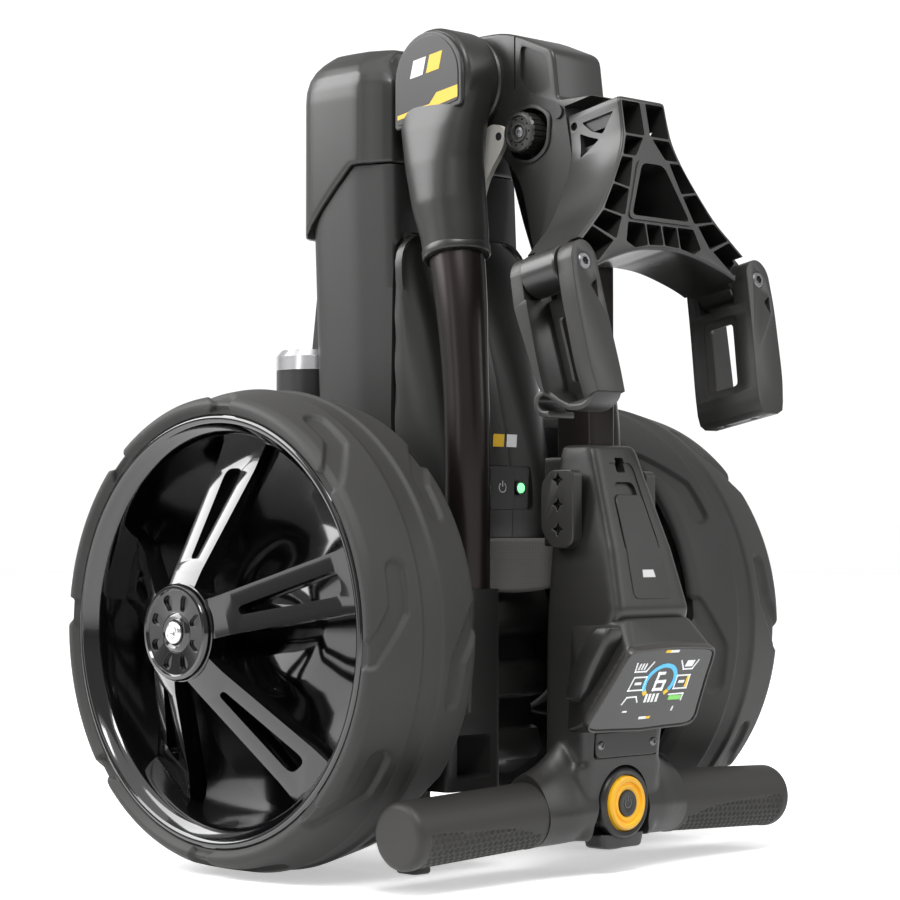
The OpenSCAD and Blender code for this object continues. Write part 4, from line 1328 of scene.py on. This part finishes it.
def build_lock():
    y, z = KNOB[1], KNOB[2]
    knob = lathe("ribbed_knob", [(0, -8.2), (5, -8.2), (5, -17), (11.8, -17), (12.7, -18), (12.7, -29.2),
                                 (11.6, -30.6), (10.2, -31), (9.6, -29.8), (6.6, -29.8), (6, -30.8),
                                 (4.6, -30.8), (4.0, -29.2), (0, -29.0)], (0, y, z), "x", 96, closed=False)
    cuts = []
    for k in range(22):
        t = TAU * k / 22
        cuts.append(rod("rib", 0.75, -34, -16, (0, y + 12.9 * math.cos(t), z + 12.9 * math.sin(t)), "x", 8))
    for k in range(10):
        t = TAU * k / 10
        cuts.append(rod("slot", 0.7, -34, -28.6, (0, y + 8.1 * math.cos(t), z + 8.1 * math.sin(t)), "x", 8))
    combine(knob, join(cuts[0], cuts[1:]))
    shade_by_angle(knob, 35)
    finish_piece(knob, "knob", CHARCOAL_SATIN, "lock_knob")
    screw = lathe("knob_screw", [(0, -30.2), (2.2, -30.4), (3.2, -29.9), (3.4, -29), (0, -29)], (0, y, z),
        "x", 40, closed=False)
    combine(screw, lathe("hex", [(0, -33), (1.4, -33), (1.4, -29.6), (0, -29.4)], (0, y, z), "x", 6,
                         closed=False))
    shade_by_angle(screw, 40)
    finish_piece(screw, "knob", GREY_METAL)

    outline = smooth_path([(-90.4, 446), (-90.2, 451), (-86, 454.2), (-79, 455), (-71, 450.4), (-65.6, 442.6),
                           (-64.2, 433), (-66, 422.6), (-69.2, 413.6), (-70.9, 410.8), (-72.4, 414.4),
                           (-75.2, 421), (-80, 428.4), (-86, 436.2), (-89.4, 441.4), (-90.4, 446)], 6)[:-1]
    lever = prism("fold_paddle", outline, "x", -26.4, -22.6)
    boss = lathe("boss", [(0, -26.4), (5.2, -26.4), (5.5, -26), (5.5, -23), (5.2, -22.6), (0, -22.6)],
                 LEVER_PIVOT, "x", 48, closed=False)
    combine(lever, boss, "UNION")
    combine(lever, rod("bore", 2.6, -40, -10, LEVER_PIVOT, "x", 32))
    bevel(lever, 1.2, 3, 45)
    shade_by_angle(lever, 50)
    finish_piece(lever, "fold_lever", PALE, "release_lever")


# ---------- bag arms ----------
BRACKET = Matrix.Translation(Vector((0, -179, 461)) * MM) @ Matrix.Rotation(math.radians(-11), 4, "X")
ARM_X, PIVOT_DROP = 80.0, -105.6
CLAW_SPAN = (-130, -40)


def build_arm(side):
    """One bag arm, shaped in the bracket's frame and then placed: two ears, a web with a window."""
    pivot = (side * ARM_X, 0, PIVOT_DROP)
    inner = smooth_path([(-10.6, -104), (-12.2, -122), (-14.4, -142), (-17.2, -166), (-18.2, -181)], 6)
    outer = smooth_path([(5.4, -182), (8.6, -166), (10.4, -142), (11.4, -122), (10.8, -104)], 6)
    top = [(10.9 * math.cos(t), PIVOT_DROP + 12.6 * math.sin(t))
        for t in np.linspace(0.15, math.pi - 0.15, 16)]
    foot = [(-17.2, -187.4), (-13, -190), (-2, -190), (3.4, -187.6)]
    outline = [(side * (ARM_X + x), z) for x, z in list(inner) + foot + list(outer) + top]
    arm = prism("arm", outline, "y", -4.8, 43.8)
    weld(arm)
    bevel(arm, 2.4, 3, 38)
    apply_modifiers(arm)
    wall = [(side * (ARM_X + x + 3.8), z) for x, z in inner if z > -175]
    wall = [(wall[0][0], -84)] + wall + [(side * (ARM_X - 12.6), -178), (side * (ARM_X - 8), -184)]
    hollow = prism("hollow", wall + [(side * (ARM_X + 40), -184), (side * (ARM_X + 40), -84)], "y", 6.4, 33.6)
    combine(arm, hollow)
    barrel = rod("barrel", 14.2, 7.2, 34.8, pivot, "y", 64)
    combine(arm, barrel)
    throat = prism("throat", rect(side * ARM_X - 34, -92, side * ARM_X + 34, -119.5), "y", 7.2, 34.8)
    combine(arm, throat)
    window = rounded(rect(11, -130, 29, -169), 3, 5)
    combine(arm, prism("window", window, "x", *sorted((side * (ARM_X - 40), side * (ARM_X + 40)))))
    recess = rounded(rect(6.8, -125, 33.2, -174), 5, 5)
    dish = [(side * (ARM_X + x + 1.3), z) for x, z in inner]
    dish += [(side * (ARM_X - 40), -181), (side * (ARM_X - 40), -104)]
    carve = prism("carve", dish, "y", -20, 60)
    combine(carve, prism("recess", recess, "x", *sorted((side * (ARM_X - 39), side * (ARM_X + 39)))),
            "INTERSECT")
    combine(arm, carve)
    pin = rod("pin", 5.06, -30, 70, pivot, "y")
    combine(arm, pin)
    tri = rounded([(side * ARM_X + 2, PIVOT_DROP - 14), (side * ARM_X + 8, PIVOT_DROP - 10),
                   (side * ARM_X + 7, PIVOT_DROP - 22)], 1.2, 3)
    combine(arm, prism("tri", tri, "y", -8, -2.4))
    for y in (9, 30):
        hole = rod("hole", 2.4, -196, -184, (side * (ARM_X - 8), y, 0), "z", 32)
        combine(arm, hole)
    bevel(arm, 0.5, 2, 45)
    apply_modifiers(arm)
    arm.data.transform(BRACKET)
    shade_by_angle(arm, 42)
    return arm


def build_hook_arm():
    """The left arm ends in an open curl instead of a closed foot. It is cut in the bracket's frame."""
    arm = build_arm(-1)
    arm.data.transform(BRACKET.inverted())
    cut = prism("cut", [(-14, -180), (0.8, -182.4), (8, -186), (17, -185.6), (25, -181.2), (31.5, -175.4),
                        (37.5, -172.2), (60, -172.2), (60, -200), (-14, -200)], "x", *CLAW_SPAN)
    combine(arm, cut)
    combine(arm, prism("back", [(44.5, -116), (60, -116), (60, -190), (33, -190), (36.5, -172)], "x",
                       *CLAW_SPAN))
    path = smooth_path([(-2.6, -168), (-2.4, -176), (0.6, -183.2), (8, -187.2), (17, -186.6), (25, -182.2),
                        (31.5, -176.4), (37.5, -173.2), (42.6, -175.4), (43.6, -180.6), (40.4, -185),
                        (35, -186.4)], 6)
    left, right = [], []
    for i, p in enumerate(path):
        d = path[min(i + 1, len(path) - 1)] - path[max(i - 1, 0)]
        d = d / np.linalg.norm(d)
        n = np.array((-d[1], d[0])) * 1.9
        left.append(p + n)
        right.append(p - n)
    ribbon = prism("ribbon", left + right[::-1], "x", -ARM_X - 4.6, -ARM_X + 17.6)
    weld(ribbon)
    bevel(ribbon, 0.7, 2, 45)
    apply_modifiers(ribbon)
    join(arm, [ribbon])
    arm.data.transform(BRACKET)
    shade_by_angle(arm, 42)
    return arm


def build_arms():
    for side, build in (("right", lambda: build_arm(1)), ("left", build_hook_arm)):
        arm = build()
        arm.name = "cradle_arm_" + side
        finish_piece(arm, "arm_" + side, HANDLE, "bag_arm_" + side)


# ---------- hinge block and bag bracket ----------
def build_mast_block():
    y, z = HINGE[1:]
    half = 22.0
    outline = [(y, 513), (-88, 513), (-127, 497), (-131, 466), (-160, 466), (-175, 372), (-111, 368),
               (-100, 416), (-84, 437), (y, 453)]
    block = prism("mast_block", rounded(outline, [3, 14, 6, 3, 6, 5, 4, 10, 14, 3], 5), "x", -half, half)
    weld(block)
    bevel(block, 2.0, 3, 50)
    apply_modifiers(block)
    drum = lathe("drum", [(8.05, -26.7), (28.6, -26.7), (30, -25.4), (30, 25.4), (28.6, 26.7), (8.05, 26.7)],
                 (0, y, z), count=128)
    plug = rod("plug", 29, -60, 60, (0, y, z), count=96)
    combine(block, plug)
    block = join(block, [drum])
    block.name = "mast_block"
    for side in (-1, 1):
        well = rounded([(-89, 462), (-112, 466), (-126.5, 458), (-124, 436), (-110, 427.5), (-91, 432)], 7, 6)
        rim = prism("rim", well, "x", side * (half - 1), side * (half + 1.5))
        weld(rim)
        bevel(rim, 0.9, 3, 50)
        apply_modifiers(rim)
        middle = np.mean(well, axis=0)
        inner = (well - middle) * 0.87 + middle
        hole = prism("hole", inner, "x", side * (half - 15), side * (half + 8))
        combine(rim, hole, keep=True)
        combine(block, hole)
        panel = rounded([(-100, 503), (-121.5, 494.2), (-125, 473), (-108, 471), (-100, 480)], 4, 5)
        combine(block, prism("panel", panel, "x", side * (half - 2.2), side * (half + 6)))
        groove = rounded(rect(-94.6, 510, -95.8, 476), 0.3, 2)
        combine(block, prism("groove", groove, "x", side * (half - 1), side * (half + 6)))
        block = join(block, [rim])
    combine(block, rod("bore", 5.1, -40, 0, (0, KNOB[1], KNOB[2]), "x", 40))
    room = prism("room", rect(-60, -130, 42, 8), "x", -200, 200)
    room.data.transform(BRACKET)
    combine(block, room)
    low, high = MAST_LOW, MAST_HIGH
    combine(block, prism("rail", rect(low[0], low[1], high[0], high[1]),
                         "z", 300, high[2]))
    shade_by_angle(block, 42)
    finish_piece(block, "mast", CHARCOAL_SATIN, "hinge_block")


def build_truss():
    """The bag bracket: a deep arch with ribbed pockets, an open window and two pivot barrels."""
    edge = smooth_path([(21.2, 0), (21.8, -12), (23.6, -24), (30, -38), (41, -54.4), (53, -69.6), (65, -80.4),
                        (79, -92.4)], 6)
    arch = smooth_path([(79, -116.4), (62, -105.6), (40, -97.8), (20, -93.2), (0, -91.7)], 6)
    half = [(0, 2), (17.6, 2), (20.2, 1.6)] + list(edge) + list(arch)
    full = half + [(-x, z) for x, z in half[::-1][1:-1]]
    truss = prism("truss_bracket", full, "y", 0, 42)
    weld(truss)
    bevel(truss, 1.6, 3, 50)
    apply_modifiers(truss)
    pockets = [[(3.2, -1.6), (18.4, -1.6), (19.2, -20.4), (3.2, -20.4)],
               [(5, -23.2), (19.6, -23.2), (24.4, -34.4), (13.6, -34.4)],
               [(17.4, -37.2), (26.6, -37.2), (36.6, -52.4), (24, -54.4)],
               [(25.6, -57), (38, -55), (49, -69.8), (32.2, -72.2)],
               [(36, -74.6), (50.4, -72), (61, -81), (43.4, -87.4)],
               [(47, -89.6), (63, -83), (74, -92.2), (62.6, -102.4)],
               [(1.2, -77.4), (13.4, -77.4), (13.4, -89.2), (1.2, -88.6)],
               [(15.8, -77.4), (29.6, -77.4), (33.6, -88.6), (27, -91.8), (15.8, -89.6)]]
    for pocket in pockets:
        middle = np.mean(pocket, axis=0)
        wide = (np.array(pocket) - middle) * 1.09 + middle
        for side in (-1, 1):
            outline = rounded([(side * x, z) for x, z in wide], 1.3, 3)
            combine(truss, prism("pocket", outline, "y", -3, 33))
    window = rounded([(-10, -39), (10, -39), (26.5, -72.6), (-26.5, -72.6)], [5, 5, 4, 4], 6)
    rim_out = rounded([(-12.6, -36.6), (12.6, -36.6), (30, -75), (-30, -75)], [6, 6, 5, 5], 6)
    rim = prism("rim", rim_out, "y", -1.0, 30)
    combine(truss, rim, "UNION")
    combine(truss, prism("window", window, "y", -5, 60))
    for side in (-1, 1):
        for shape in ([(31, -6), (5.5, -6), (15.5, -17.5), (24, -13.6)],
                [(33.4, -12), (33.4, -28), (18.5, -20), (26, -16.4)]):
            outline = rounded(shape, 1.4, 3)
            combine(truss, prism("flank", outline, "x", side * 19.6, side * 40))
        combine(truss, rod("screw", 2.6, side * 18.5, side * 40, (0, 37.4, -6.2), "x", 32))
    for side in (-1, 1):
        pivot = (side * ARM_X, 0, PIVOT_DROP)
        tube = lathe("barrel", [(0, 8), (12.2, 8), (13, 8.8), (13, 33.2), (12.2, 34), (0, 34)],
                     pivot, "y", 80, closed=False)
        combine(truss, tube, "UNION")
        for y0, y1 in ((-21, 7.6), (34.4, 71)):
            combine(truss, rod("ear", 16.4, y0, y1, pivot, "y", 64))
        combine(truss, rod("pin", 5.05, -20, 60, pivot, "y", 40))
    truss.data.transform(BRACKET)
    slot = prism("slot", rect(-14, -151, 14, -130), "z", 300, 407)
    combine(truss, slot)
    shade_by_angle(truss, 40)
    finish_piece(truss, "mast", BRACKET_PLASTIC, "bag_bracket")
    pins = []
    for side in (-1, 1):
        pivot = (side * ARM_X, 0, PIVOT_DROP)
        pin = lathe("pivot_screws", [(0, -5.3), (4.2, -5.3), (4.9, -4.7), (4.9, 43.9), (0, 43.9)],
                    pivot, "y", 48, closed=False)
        combine(pin, rod("hex", 2.6, -8, -3, pivot, "y", 6))
        pins.append(pin)
    pins = join(pins[0], pins[1:])
    pins.data.transform(BRACKET)
    shade_by_angle(pins, 40)
    finish_piece(pins, "mast", GREY_METAL, "arm_pins")


# ---------- CAD nodes that stay ----------
KEPT = {
    "mast_tube": BRONZE, "bracket_screws": SATIN_BLACK, "lever_pin": GREY_METAL,
    "hinge_pin": GREY_METAL,
    "motor_mount": CHARCOAL, "motor_body": SATIN_BLACK, "motor_end_cap": BRIGHT,
    "axle_left": BRIGHT, "axle_right": BRIGHT, "front_arm": CHARCOAL_SATIN,
    "front_pivot_pin": GREY_METAL, "front_axle": BRIGHT, "front_rim": GLOSS_BLACK,
    "front_tyre": TYRE,
}


def finish_cad_nodes():
    for node, mat in KEPT.items():
        obj = bpy.data.objects[node]
        for place in obj.material_slots:
            place.material = mat
        mod = obj.modifiers.new("weld", "WELD")
        mod.merge_threshold = 0.00002
        bevel(obj, 0.8, 2, 30)
        obj.modifiers.new("normals", "WEIGHTED_NORMAL").keep_sharp = True


def main():
    build_stage()
    build_wheels()
    build_side_tubes()
    build_elbows()
    build_badges()
    build_housing()
    build_cap()
    build_pack()
    build_pull_tab()
    build_sockets()
    build_axle_casing()
    build_gear_hubs()
    build_handle()
    build_display()
    build_grips()
    build_dial()
    build_cheeks()
    build_lock()
    build_arms()
    build_mast_block()
    build_truss()
    finish_cad_nodes()


main()
